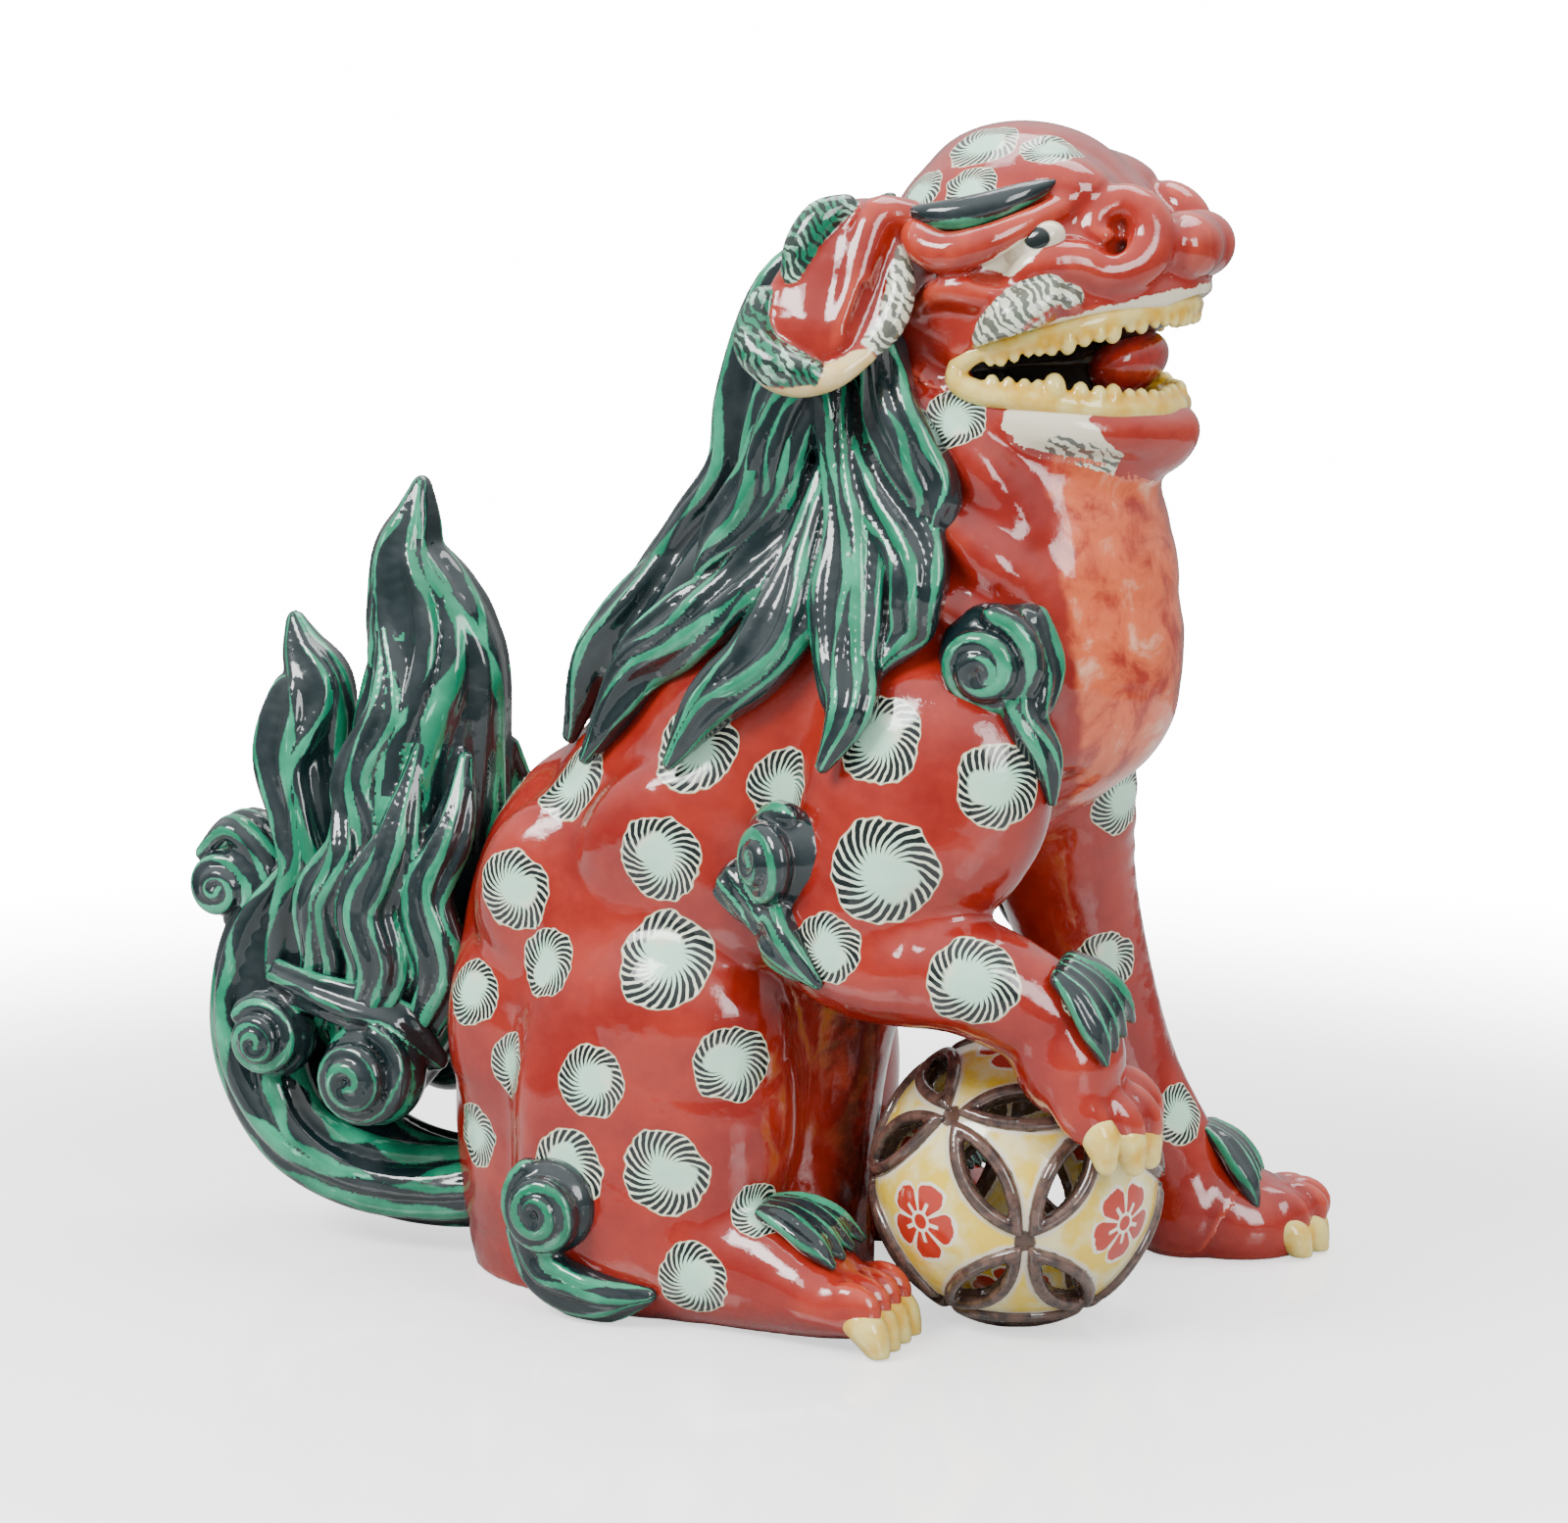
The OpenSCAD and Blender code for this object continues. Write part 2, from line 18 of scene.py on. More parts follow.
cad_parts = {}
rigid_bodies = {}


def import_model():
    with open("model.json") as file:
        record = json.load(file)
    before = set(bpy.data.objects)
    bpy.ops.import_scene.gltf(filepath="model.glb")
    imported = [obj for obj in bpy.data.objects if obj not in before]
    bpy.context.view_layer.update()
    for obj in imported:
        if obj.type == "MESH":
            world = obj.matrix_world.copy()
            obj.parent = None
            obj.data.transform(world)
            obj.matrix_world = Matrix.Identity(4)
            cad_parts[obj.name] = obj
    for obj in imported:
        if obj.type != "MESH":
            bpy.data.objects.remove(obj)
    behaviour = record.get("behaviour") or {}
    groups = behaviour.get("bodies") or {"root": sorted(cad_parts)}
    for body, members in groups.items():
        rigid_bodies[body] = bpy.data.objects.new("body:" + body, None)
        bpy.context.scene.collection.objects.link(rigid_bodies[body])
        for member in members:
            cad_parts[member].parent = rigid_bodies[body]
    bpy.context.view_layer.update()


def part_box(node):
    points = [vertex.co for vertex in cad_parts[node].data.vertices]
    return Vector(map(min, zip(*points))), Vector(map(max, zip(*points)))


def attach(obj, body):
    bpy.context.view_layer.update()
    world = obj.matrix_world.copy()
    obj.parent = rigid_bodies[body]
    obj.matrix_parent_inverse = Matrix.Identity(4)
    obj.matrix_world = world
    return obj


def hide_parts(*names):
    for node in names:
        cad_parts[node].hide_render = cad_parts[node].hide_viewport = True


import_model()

MM = 0.001
RIGHT, LEFT = -1, 1
SIDES = (RIGHT, LEFT)
SIDE_WORDS = ((RIGHT, "right"), (LEFT, "left"))
REACH = 9.0                      # fields are cut off at this distance, which also stands for "nowhere near"
GROUND = 0.4                     # what is laid on the body stays this far above the ground
MARGIN = 4                       # room left round a shape for its blends
# Voxels of the small parts, the body, the hair and the ball.
FINE, COARSE, HAIR, BALL_STEP = ((0.8, 1.0, 0.75, 0.6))

BALL_C = np.array([86.0, -10.0, 34.9])
BALL_R = 34.5


def packed_ball_middle():
    """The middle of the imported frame's ball, in millimetres."""
    boxes = np.array([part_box(name) for name in ("ball_upper", "ball_lower")]) / MM
    return (boxes[:, 0].min(0) + boxes[:, 1].max(0)) / 2


TO_FRAME = packed_ball_middle() - BALL_C


# ---------------------------------------------------------------- distance fields

def unit(v):
    v = np.asarray(v, float)
    return v / np.linalg.norm(v)


def spline(points, steps):
    """A Catmull-Rom curve through rows of numbers, steps to each stretch."""
    p = np.asarray(points, float)
    q = np.vstack([p[0], p, p[-1]])
    t = np.linspace(0, 1, steps, endpoint=False)[:, None]
    rows = []
    for a, b, c, d in zip(q, q[1:], q[2:], q[3:]):
        bent, twisted = 2 * a - 5 * b + 4 * c - d, 3 * b - a - 3 * c + d
        rows.append(0.5 * (2 * b + (c - a) * t + bent * t ** 2 + twisted * t ** 3))
    return np.vstack(rows + [p[-1:]])


class Egg:
    """An ellipsoid, turned by Euler angles in degrees."""

    def __init__(self, centre, radii, turn=(0, 0, 0)):
        self.c = np.asarray(centre, float)
        self.r = np.asarray(radii, float) * np.ones(3)
        m = np.array(Euler([math.radians(a) for a in turn]).to_matrix())
        half = np.sqrt(((m * self.r) ** 2).sum(1))
        self.lo, self.hi = self.c - half, self.c + half
        self.m = m.T

    def __call__(self, x, y, z):
        dx, dy, dz = x - self.c[0], y - self.c[1], z - self.c[2]
        k0 = k1 = 0
        for row, r in zip(self.m, self.r):
            u = (row[0] * dx + row[1] * dy + row[2] * dz) / r
            k0 = k0 + u * u
            k1 = k1 + (u / r) ** 2
        k0 = np.sqrt(k0)
        return k0 * (k0 - 1) / (np.sqrt(k1) + 1e-6)


class Bone:
    """One straight, tapering length of a limb. A size is [across, along ref] half widths."""

    def __init__(self, a, b, size_a, size_b, ref):
        self.a, self.span = np.asarray(a, float), np.linalg.norm(np.asarray(b, float) - a) + 1e-6
        self.t = (np.asarray(b, float) - a) / self.span
        self.n = unit(np.cross(ref, self.t))
        self.m = np.cross(self.t, self.n)
        self.sa, self.sb = size_a, size_b
        reach = max(*size_a, *size_b)
        self.lo, self.hi = np.minimum(a, b) - reach, np.maximum(a, b) + reach

    def __call__(self, x, y, z):
        dx, dy, dz = x - self.a[0], y - self.a[1], z - self.a[2]
        along = dx * self.t[0] + dy * self.t[1] + dz * self.t[2]
        s = np.clip(along / self.span, 0, 1)
        w = self.sa[0] + (self.sb[0] - self.sa[0]) * s
        h = self.sa[1] + (self.sb[1] - self.sa[1]) * s
        e = np.minimum(w, h)
        u = (dx * self.n[0] + dy * self.n[1] + dz * self.n[2]) / w
        v = (dx * self.m[0] + dy * self.m[1] + dz * self.m[2]) / h
        q = (along - s * self.span) / e
        k0 = np.sqrt(u * u + v * v + q * q)
        k1 = np.sqrt((u / w) ** 2 + (v / h) ** 2 + (q / e) ** 2) + 1e-6
        return k0 * (k0 - 1) / k1


def limb(points, sizes, ref=(0, 1, 0), steps=4):
    """A chain of bones along a smooth curve; ref is one direction or one for each point."""
    p = spline(points, steps)
    s = np.maximum(spline([np.ones(2) * w for w in sizes], steps), 0.25)
    refs = spline(np.broadcast_to(ref, (len(points), 3)), steps)
    return [Bone(p[i], p[i + 1], s[i], s[i + 1], refs[i]) for i in range(len(p) - 1)]


def mirrored(shapes):
    """The same shapes on the other side of the middle plane."""
    out = []
    flip = np.array([1, -1, 1])
    for s in shapes:
        if isinstance(s, Egg):
            t = Egg(s.c * flip, s.r)
            t.m = s.m * flip
            half = (s.hi - s.lo) / 2
            t.lo, t.hi = t.c - half, t.c + half
        else:
            b = s.a + s.t * s.span
            t = Bone(s.a * flip, b * flip, s.sa, s.sb, np.array([0, 1, 0]))
            t.n, t.m = s.n * flip, s.m * flip
        out.append(t)
    return out


def smooth_min(a, b, k):
    """The lesser of a and b, blended where they differ by less than k."""
    if k <= 0:
        return np.minimum(a, b)
    h = np.maximum(k - np.abs(a - b), 0) / k
    return np.minimum(a, b) - h * h * k * 0.25


class Block:
    """A box of voxels on one shared lattice. Fields in it are cut off at its reach."""

    def __init__(self, lo, hi, step, reach=REACH):
        self.step, self.reach = step, reach
        self.first = np.floor(np.asarray(lo) / step).astype(int)
        self.shape = tuple(np.ceil(np.asarray(hi) / step).astype(int) - self.first + 1)

    def axes(self, cut=(slice(None),) * 3):
        x, y, z = (((self.first[i] + np.arange(self.shape[i])) * self.step).astype(np.float32)[cut[i]]
                   for i in range(3))
        return x[:, None, None], y[None, :, None], z[None, None, :]

    def window(self, lo, hi):
        a = np.clip(np.floor((lo - self.reach) / self.step).astype(int) - self.first, 0, self.shape)
        b = np.clip(np.ceil((hi + self.reach) / self.step).astype(int) - self.first + 1, 0, self.shape)
        return None if (b <= a).any() else tuple(slice(int(p), int(q)) for p, q in zip(a, b))

    def field(self, steps):
        """steps: [(shapes, blend)] are added in order; a negative blend cuts with its size."""
        d = np.full(self.shape, self.reach, np.float32)
        for shapes, blend in steps:
            lo = np.min([s.lo for s in shapes], 0)
            hi = np.max([s.hi for s in shapes], 0)
            whole = self.window(lo, hi)
            if whole is None:
                continue
            sub = np.full([w.stop - w.start for w in whole], self.reach, np.float32)
            for s in shapes:
                w = self.window(s.lo, s.hi)
                if w is None:
                    continue
                inner = tuple(slice(p.start - q.start, p.stop - q.start) for p, q in zip(w, whole))
                sub[inner] = np.minimum(sub[inner], s(*self.axes(w)).astype(np.float32))
            if blend < 0:
                d[whole] = -smooth_min(-d[whole], sub, -blend)
            else:
                d[whole] = smooth_min(d[whole], sub, blend)
        return d


def surface_net(d, block):
    """The zero surface of d as points and quads that face outwards."""
    inside = d < 0
    total = 0
    for corner in itertools.product((0, 1), repeat=3):
        total = total + inside[tuple(slice(c, n - 1 + c) for c, n in zip(corner, d.shape))].astype(np.int8)
    cells = (total > 0) & (total < 8)
    at = np.argwhere(cells)
    index = np.full(cells.shape, -1, np.int32)
    index[cells] = np.arange(len(at))
    pos, hits = np.zeros((len(at), 3)), np.zeros(len(at))
    eye = np.eye(3, dtype=int)
    for axis in range(3):
        b, c = (axis + 1) % 3, (axis + 2) % 3
        for i, j in itertools.product((0, 1), repeat=2):
            off = i * eye[b] + j * eye[c]
            v0 = d[tuple((at + off).T)].astype(float)
            v1 = d[tuple((at + off + eye[axis]).T)].astype(float)
            hit = (v0 < 0) != (v1 < 0)
            t = v0[hit] / (v0[hit] - v1[hit])
            pos[hit] += off + t[:, None] * eye[axis]
            hits[hit] += 1
    points = (block.first + at + pos / hits[:, None]) * block.step
    quads = []
    for axis in range(3):
        b, c = (axis + 1) % 3, (axis + 2) % 3
        low = [slice(1, -1)] * 3
        low[axis] = slice(0, -1)
        high = list(low)
        high[axis] = slice(1, None)
        g = np.argwhere(inside[tuple(low)] != inside[tuple(high)]) + [s.start for s in low]
        q = np.stack([index[tuple((g - o).T)] for o in (eye[b] + eye[c], eye[c], 0 * eye[b], eye[b])], 1)
        out = inside[tuple(g.T)]
        quads += [q[out], q[~out][:, ::-1]]
    return points, np.vstack(quads)


def neighbours(quads):
    """Every edge both ways, as two lists of points."""
    a, b = quads.ravel(), np.roll(quads, -1, 1).ravel()
    return np.concatenate([a, b]), np.concatenate([b, a])


def mean_round(values, edges):
    """The mean of each point's neighbours."""
    a, b = edges
    total = np.stack([np.bincount(a, column[b], len(values)) for column in values.T], 1)
    return total / np.bincount(a, minlength=len(values))[:, None]


def relax(points, quads, rounds):
    """Taubin smoothing: takes the voxel steps out without shrinking the form."""
    edges = neighbours(quads)
    for k in (0.55, -0.57) * rounds:
        points = points + k * (mean_round(points, edges) - points)
    return points


def normals_of(points, quads):
    p = points[quads]
    n = np.cross(p[:, 2] - p[:, 0], p[:, 3] - p[:, 1])
    out = np.stack([np.bincount(quads.ravel(), np.repeat(n[:, c], 4), len(points)) for c in range(3)], 1)
    return out / (np.linalg.norm(out, axis=1, keepdims=True) + 1e-9)


# ---------------------------------------------------------------- the animal's clay

def rod(points, radii, steps=5):
    """A round limb."""
    return limb(points, [[r, r] for r in radii], (0.3, 0.5, 0.8), steps)


def both(make):
    """A part's steps for the right side, and the same for the left."""
    steps = make()
    return steps, [(mirrored(shapes), blend) for shapes, blend in steps]


def torso():
    spine = [[-17, 0, -1], [-17, 0, 30], [-14, 0, 62], [0, 0, 95], [21, 0, 122], [44, 0, 146],
             [73, 0, 168], [76, 0, 193], [74, 0, 206], [70, 0, 220], [68, 0, 240]]
    girth = [[44, 36], [49, 41], [50, 44], [50, 47], [50, 46], [50, 44],
             [47, 42], [41, 38], [37, 36], [30, 31], [26, 28]]
    steps = [(limb(spine, girth), 0),
             ([Egg([-44, 0, 96], [16, 26, 34], [0, 14, 0])], 12),                 # rump
             (limb([[12, 0, 2], [13, 0, 40], [16, 0, 72], [24, 0, 98]],
                   [[32, 24], [32, 25], [34, 27], [34, 30]]), 8),                 # belly
             ([Egg([97, 0, 158], [22, 29, 26], [0, -20, 0])], 10)]                # breast
    for s in SIDES:
        steps += [
            (rod([[72, 35 * s, 222], [84, 35 * s, 210], [92, 31 * s, 196]], [5, 6.5, 5]), 6),
            (rod([[80, 41 * s, 196], [90, 37 * s, 186], [98, 31 * s, 176]], [4, 6.5, 4.5]), 6),
            (rod([[78, 43 * s, 178], [92, 37 * s, 170], [103, 27 * s, 160]], [3, 5, 3.5]), 6),
            (rod([[96, 27 * s, 156], [99, 25 * s, 146]], [6, 6]), 8),
            ([Egg([-34, 31 * s, 104], [13, 10, 20], [0, 22, 0])], 8),              # flank
            ([Egg([-46, 22 * s, 66], [13, 14, 22])], 8),
            ([Egg([4, 42 * s, 122], [18, 7, 12], [0, -34, 0])], 8),
            ([Egg([26, 42 * s, 106], [13, 7, 16], [0, -30, 0])], 8),
        ]
    return steps


def haunch():
    return [([Egg([1, -33, 59], [35, 24, 42], [0, -10, 0]), Egg([8, -37, 72], [28, 21, 28], [0, 32, 0])], 6),
            ([Egg([0, -37, 24], [34, 20, 27]), Egg([17, -37, 38], [18.5, 17, 38])], 10),
            ([Egg([-18, -38, 44], [15, 16, 30])], 8)]


def foot_hind():
    return [(limb([[16, -42, 16], [34, -44, 15], [50, -46, 12], [58, -46, 9]],
                  [[16, 14], [15, 13], [11, 14], [7, 13]]), 0),
            ([Egg([61, -46 + k, 11.5], [7.5, 3.9, 6.5], [0, 14, 0]) for k in (-10.2, -3.4, 3.4, 10.2)], 2.0)]


def shoulder():
    return [([Egg([72, -38, 134], [31, 20, 33], [0, 18, 0])], 0),
            (limb([[68, -42, 124], [58, -46, 108], [54, -47, 97]], [[25, 17], [18, 15], [13, 13]]), 8)]


def forearm():
    return [(limb([[52, -47, 98], [62, -47, 93], [84, -45, 92], [100, -40, 84], [107, -36, 76]],
                  [[11, 11], [13.5, 13], [14, 14], [13, 13], [12, 13]]), 0)]


def paw_fore_right():
    toes = [([112 + a, -34 + b, 67 - c], [6, 4.4, 9]) for a, b, c in
            ((2, -11, 6), (8, -4.5, 8), (10, 3, 8), (8, 10, 6))]
    return [([Egg([108, -36, 71], [13, 15, 13], [0, 45, 15])], 0),
            ([Egg(c, r, [0, -38, 20]) for c, r in toes], 3)]


def foreleg_left():
    return [(limb([[72, 28, 152], [76, 34, 130], [80, 44, 100], [86, 52, 70], [94, 59, 45], [103, 64, 24],
                   [107, 66, 14]],
                  [[24, 14], [25, 17], [18, 16], [15, 14], [12.5, 13], [13, 13], [13, 13]]), 0)]


def paw_fore_left():
    toes = [[131, 68, 11], [134, 74, 12], [133, 80, 12], [128, 86, 11]]
    return [([Egg([118, 71, 8], [20, 16, 14], [0, 8, 20]), Egg([107, 66, 9], [15, 14, 13])], 5),
            ([Egg(c, [8, 3.9, 6.5], [0, 12, 20]) for c in toes], 2.5)]


def nose_wing(s):
    """The roll over the lip: it runs forward, curls up round the nostril and ends in a knob."""
    return rod([[92, 34 * s, 252.5], [97.5, 32.5 * s, 256.5], [104, 28.5 * s, 257], [110, 24.5 * s, 254.8],
                [116, 20 * s, 256.5], [119, 16.5 * s, 261.5], [117.4, 15.5 * s, 267.6],
                [112.5, 17 * s, 270.6], [107.8, 20.5 * s, 268.6], [107.4, 22.8 * s, 264.4],
                [109.6, 23.4 * s, 263]],
               [3.2, 5.2, 5.8, 5.6, 5.8, 6.0, 5.4, 4.6, 4.0, 3.5, 2.8])


def side_of_head(s):
    boss = [Egg([99, 18 * s, 274.5], [11, 9, 7], [0, 12, 0])]
    cheek = [Egg([85, 25 * s, 245], [24, 13, 17], [0, -14, 0])]
    cheek_fold = rod([[70, 35 * s, 247], [77, 38.5 * s, 251], [86, 38 * s, 250], [94, 34.5 * s, 246]],
                     [1.5, 3.8, 4.2, 2])
    eye_socket = [Egg([94, 37.5 * s, 260], [12, 4.5, 5.5], [0, -30, -18 * s])]
    brow_ridge = rod([[67, 34 * s, 267], [70, 38.5 * s, 262.5], [77, 40.6 * s, 259.4], [85, 39.6 * s, 261.2],
                      [92, 35.5 * s, 264.6], [98.5, 28.5 * s, 268.6], [102.5, 22 * s, 272]],
                     [1.5, 4.2, 5.0, 4.4, 3.6, 3.2, 3.4])
    brow_knob = [Egg([104, 19.5 * s, 273.6], [5.2, 5.2, 5.0])]
    nostril = [Egg([113, 23 * s, 260.8], [2.0, 5, 1.9])]
    nose_lobe = [Egg([125, 7 * s, 260.5], [7, 7.5, 7.2], [0, 20, 0])]
    whisker = rod([[87.5, 36.5 * s, 240], [93.5, 37 * s, 244.5], [100, 34.5 * s, 249.5]], [4.8, 6.2, 4.4])
    whisker_tip = [Egg([103.5, 31.8 * s, 248.6], [4.0, 3.6, 3.2])]
    return [(boss, 5), (cheek, 8), (cheek_fold, 3), (eye_socket, -2), (brow_ridge, 1.2), (brow_knob, 0.9),
            (nose_wing(s), 1.4), (nostril, -1.2), (nose_lobe, 3), (whisker, 1.5), (whisker_tip, 1.2)]


def head():
    """Skull, snout and upper jaw; the mouth is cut out between it and the lower jaw."""
    lips = [(rod([[x, y * s, z] for x, y, z in LIP], [2.5, 2.8, 3, 3, 3, 3, 3]), 3) for s in SIDES]
    return [([Egg([83, 0, 255.5], [34, 36, 32])], 0),
            ([Egg([83, 0, 277], [20, 17, 11], [0, 4, 0])], 6),
            ([Egg([102, 0, 257], [25, 23, 16], [0, 12, 0])], 7),
            *side_of_head(RIGHT), *side_of_head(LEFT), *lips, (GAPE, -1.5)]


def jaw():
    floor, rims, folds = [], [], []
    for s in SIDES:
        floor.append((limb([[74, 15 * s, 214], [90, 13 * s, 213.5], [105, 8 * s, 212]],
                           [[10, 18], [9, 16], [7, 12]]), 6))
        rims.append((rod([[x, y * s, z] for x, y, z in JAW_RIM], [3, 4.5, 5.5, 5.8, 6, 6, 6]), 3))
        folds.append((rod([[67, 33 * s, 228], [71, 35 * s, 219], [80, 32 * s, 212]], [3, 4.5, 3.5]), 4))
    chin = [Egg([110, 0, 212], [12, 14, 7.5])]
    return [*floor, *rims, *folds, (chin, 5), (GAPE, -1.5)]


def mouth_opening():
    """The open mouth: a pocket in from each cheek, which meet in front of a middle wall."""
    middle = [[82, 232], [88, 232.5], [96, 233], [106, 234], [116, 235.5], [130, 237.5], [150, 240]]
    sizes = [[3.2, 22], [6, 23], [8, 24], [10, 25], [11.5, 26], [13, 30], [14, 34]]
    pockets = [bone for s in SIDES for bone in limb([[x, 34 * s, z] for x, z in middle], sizes)]
    return pockets + limb([[129, 0, 237], [150, 0, 240]], [[12, 30], [14, 34]])


# The left halves of the lips, from the corner of the mouth to its middle.
LIP = [[79, 34, 237], [88, 34, 239.5], [98, 31, 243.3], [108, 25.5, 246.6], [117, 17, 248.6],
       [123.5, 8, 249.8], [125, 0, 250]]
JAW_RIM = [[78, 31, 226], [86, 30.5, 221.5], [96, 28, 219.5], [106, 23, 218.5], [114, 15, 217.5],
           [118.5, 6, 217], [119.5, 0, 217]]
GAPE = mouth_opening()
haunch_right, haunch_left = both(haunch)
foot_right, foot_left = both(foot_hind)
CLAY = {
    "torso": torso(),
    "haunch_right": haunch_right, "haunch_left": haunch_left,
    "foot_hind_right": foot_right, "foot_hind_left": foot_left,
    "shoulder_right": shoulder(), "forearm_right": forearm(), "paw_fore_right": paw_fore_right(),
    "foreleg_left": foreleg_left(), "paw_fore_left": paw_fore_left(),
    "head_shell": head(), "lower_jaw": jaw(),
}
# How softly each part runs into its neighbours.
FILLET = {"haunch_right": 4, "haunch_left": 4, "shoulder_right": 5, "forearm_right": 4, "paw_fore_right": 4,
          "foreleg_left": 8, "paw_fore_left": 6, "foot_hind_right": 4, "foot_hind_left": 4,
          "head_shell": 7, "lower_jaw": 5}
SEAM = 2.0                       # how far a piece runs on under its neighbour
SINK = 0.25                      # how deep it runs there


def box_of(steps):
    """The box round everything that steps add."""
    grown = [s for shapes, blend in steps if blend >= 0 for s in shapes]
    return np.min([s.lo for s in grown], 0), np.max([s.hi for s in grown], 0)


def part_field(name, block, half):
    """The clay near one part, and how far each voxel lies outside that part's own share of it.

    half keeps one side's half of the share, or all of it when 0.
    """
    fields = {}
    for other, steps in CLAY.items():
        lo, hi = box_of(steps)
        if block.window(lo, hi) is not None:
            fields[other] = block.field(steps)
    mine = fields.pop(name)
    rest = np.full(block.shape, REACH, np.float32)
    whole = mine.copy()
    for other, f in fields.items():
        rest = np.minimum(rest, f)
        whole = smooth_min(whole, f, max(FILLET.get(other, 0), FILLET.get(name, 0)))
    outside = (mine - rest) * 0.5
    if half:
        outside = np.maximum(outside, -half * block.axes()[1])
    z = block.axes()[2]
    return np.maximum(whole, -z), outside


class Piece:
    """A finished mesh of quads in figure millimetres, with the numbers that its glaze reads."""

    def __init__(self, name, points, quads, slot):
        self.name, self.points, self.quads, self.slot = name, points, quads, slot
        self.normals = normals_of(points, quads)
        self.data = {}

    def at_points(self, key, values):
        self.data[key] = ("POINT", values)

    def at_corners(self, key, values):
        self.data[key] = ("CORNER", values.reshape(-1, 3))


PIECES = []


def without_specks(points, quads, least):
    """Leaves out any part of the mesh with fewer than least points."""
    label = np.arange(len(points))
    a, b = neighbours(quads)
    while True:
        low = np.minimum(label[a], label[b])
        new = label.copy()
        np.minimum.at(new, a, low)
        new = new[new]
        if (new == label).all():
            break
        label = new
    big = np.bincount(label, minlength=len(points))[label] >= least
    index = np.cumsum(big) - 1
    return points[big], index[quads[big[quads[:, 0]]]]


def form(name, block, d, slot, rounds=2, least=200):
    """Meshes and smooths one piece from its field."""
    points, quads = without_specks(*surface_net(d, block), least)
    piece = Piece(name, relax(points, quads, rounds), quads, slot)
    PIECES.append(piece)
    return piece


def form_body():
    """Cuts the body's one blended form into its parts' own shares, and the torso into halves."""
    shares = [("torso_right", "torso", RIGHT), ("torso_left", "torso", LEFT)]
    shares += [(part, part, 0) for part in CLAY if part != "torso"]
    for name, part, half in shares:
        lo, hi = box_of(CLAY[part])
        if half == RIGHT:
            hi = hi * [1, 0, 1]
        elif half == LEFT:
            lo = lo * [1, 0, 1]
        block = Block(lo - MARGIN, hi + MARGIN, FINE if part in ("head_shell", "lower_jaw") else COARSE)
        d, outside = part_field(part, block, half)
        if part in ("head_shell", "lower_jaw", "torso"):
            d = -smooth_min(-d, block.field([(GAPE, 0)]), 1.5)
        form(name, block, tucked(d, outside), "red_glaze", rounds=8)


def tucked(d, outside):
    """Lets a piece run on under its neighbour for a little way, a little deeper."""
    ramp = np.clip(outside / SEAM, 0, 1)
    return np.maximum(d + SINK * ramp * ramp, outside - SEAM)


def trimmed(d, block, margin=1.2):
    """Takes away what is hidden deeper than margin inside the body."""
    for steps in CLAY.values():
        if block.window(*box_of(steps)) is not None:
            d = np.maximum(d, -(block.field(steps) + margin))
    return d


def above_ground(d, block, height=GROUND):
    """Cuts a piece off level, at height above the ground."""
    return np.maximum(d, height - block.axes()[2])


# ---------------------------------------------------------------- laying things on the skin

class Skin:
    """A coarse field of the whole body, for laying hair and spots on it."""

    def __init__(self, extra=()):
        boxes = np.array([box_of(steps) for steps in CLAY.values()])
        self.block = Block(boxes[:, 0].min(0) - 8, boxes[:, 1].max(0) + 8, 2.0, 30)
        d = np.full(self.block.shape, self.block.reach, np.float32)
        for steps in CLAY.values():
            d = smooth_min(d, self.block.field(steps), 4)
        self.d = smooth_min(d, self.block.field([(list(extra), 4)]), 4) if extra else d

    def depth(self, p):
        q = p / self.block.step - self.block.first
        q = np.clip(q, 0, np.array(self.block.shape) - 1.001)
        i = q.astype(int)
        t = q - i
        out = 0
        for c in itertools.product((0, 1), repeat=3):
            w = np.prod(np.where(c, t, 1 - t), 1)
            out = out + w * self.d[tuple((i + c).T)]
        return out

    def normal(self, p):
        g = np.stack([self.depth(p + e) - self.depth(p - e) for e in np.eye(3) * 1.5], 1)
        return g / (np.linalg.norm(g, axis=1, keepdims=True) + 1e-6)

    def settle(self, p, lift=0.0, rounds=10):
        """Moves points on to the skin, or lift millimetres out from it."""
        p = np.array(p, float)
        for _ in range(rounds):
            n = self.normal(p)
            p = p - n * (self.depth(p) - lift)[:, None] * 0.8
        return p, self.normal(p)


# ---------------------------------------------------------------- hair

class Strand:
    """One ridge of hair: a curve with a radius and an outward direction at each point."""

    def __init__(self, points, radii, out, seed):
        self.p, self.r, self.seed = np.asarray(points), np.maximum(radii, 0.3), seed
        self.t = np.gradient(self.p, axis=0)
        self.t /= np.linalg.norm(self.t, axis=1, keepdims=True) + 1e-6
        out = np.asarray(out) * np.ones_like(self.p)
        out = out - self.t * (out * self.t).sum(1, keepdims=True)
        self.out = out / (np.linalg.norm(out, axis=1, keepdims=True) + 1e-6)
        self.along = np.concatenate([[0], np.cumsum(np.linalg.norm(np.diff(self.p, axis=0), axis=1))])

    def bones(self):
        ref = np.array([0.3, 0.5, 0.8])
        return [Bone(self.p[i], self.p[i + 1], [self.r[i]] * 2, [self.r[i + 1]] * 2, ref)
                for i in range(len(self.p) - 1)]


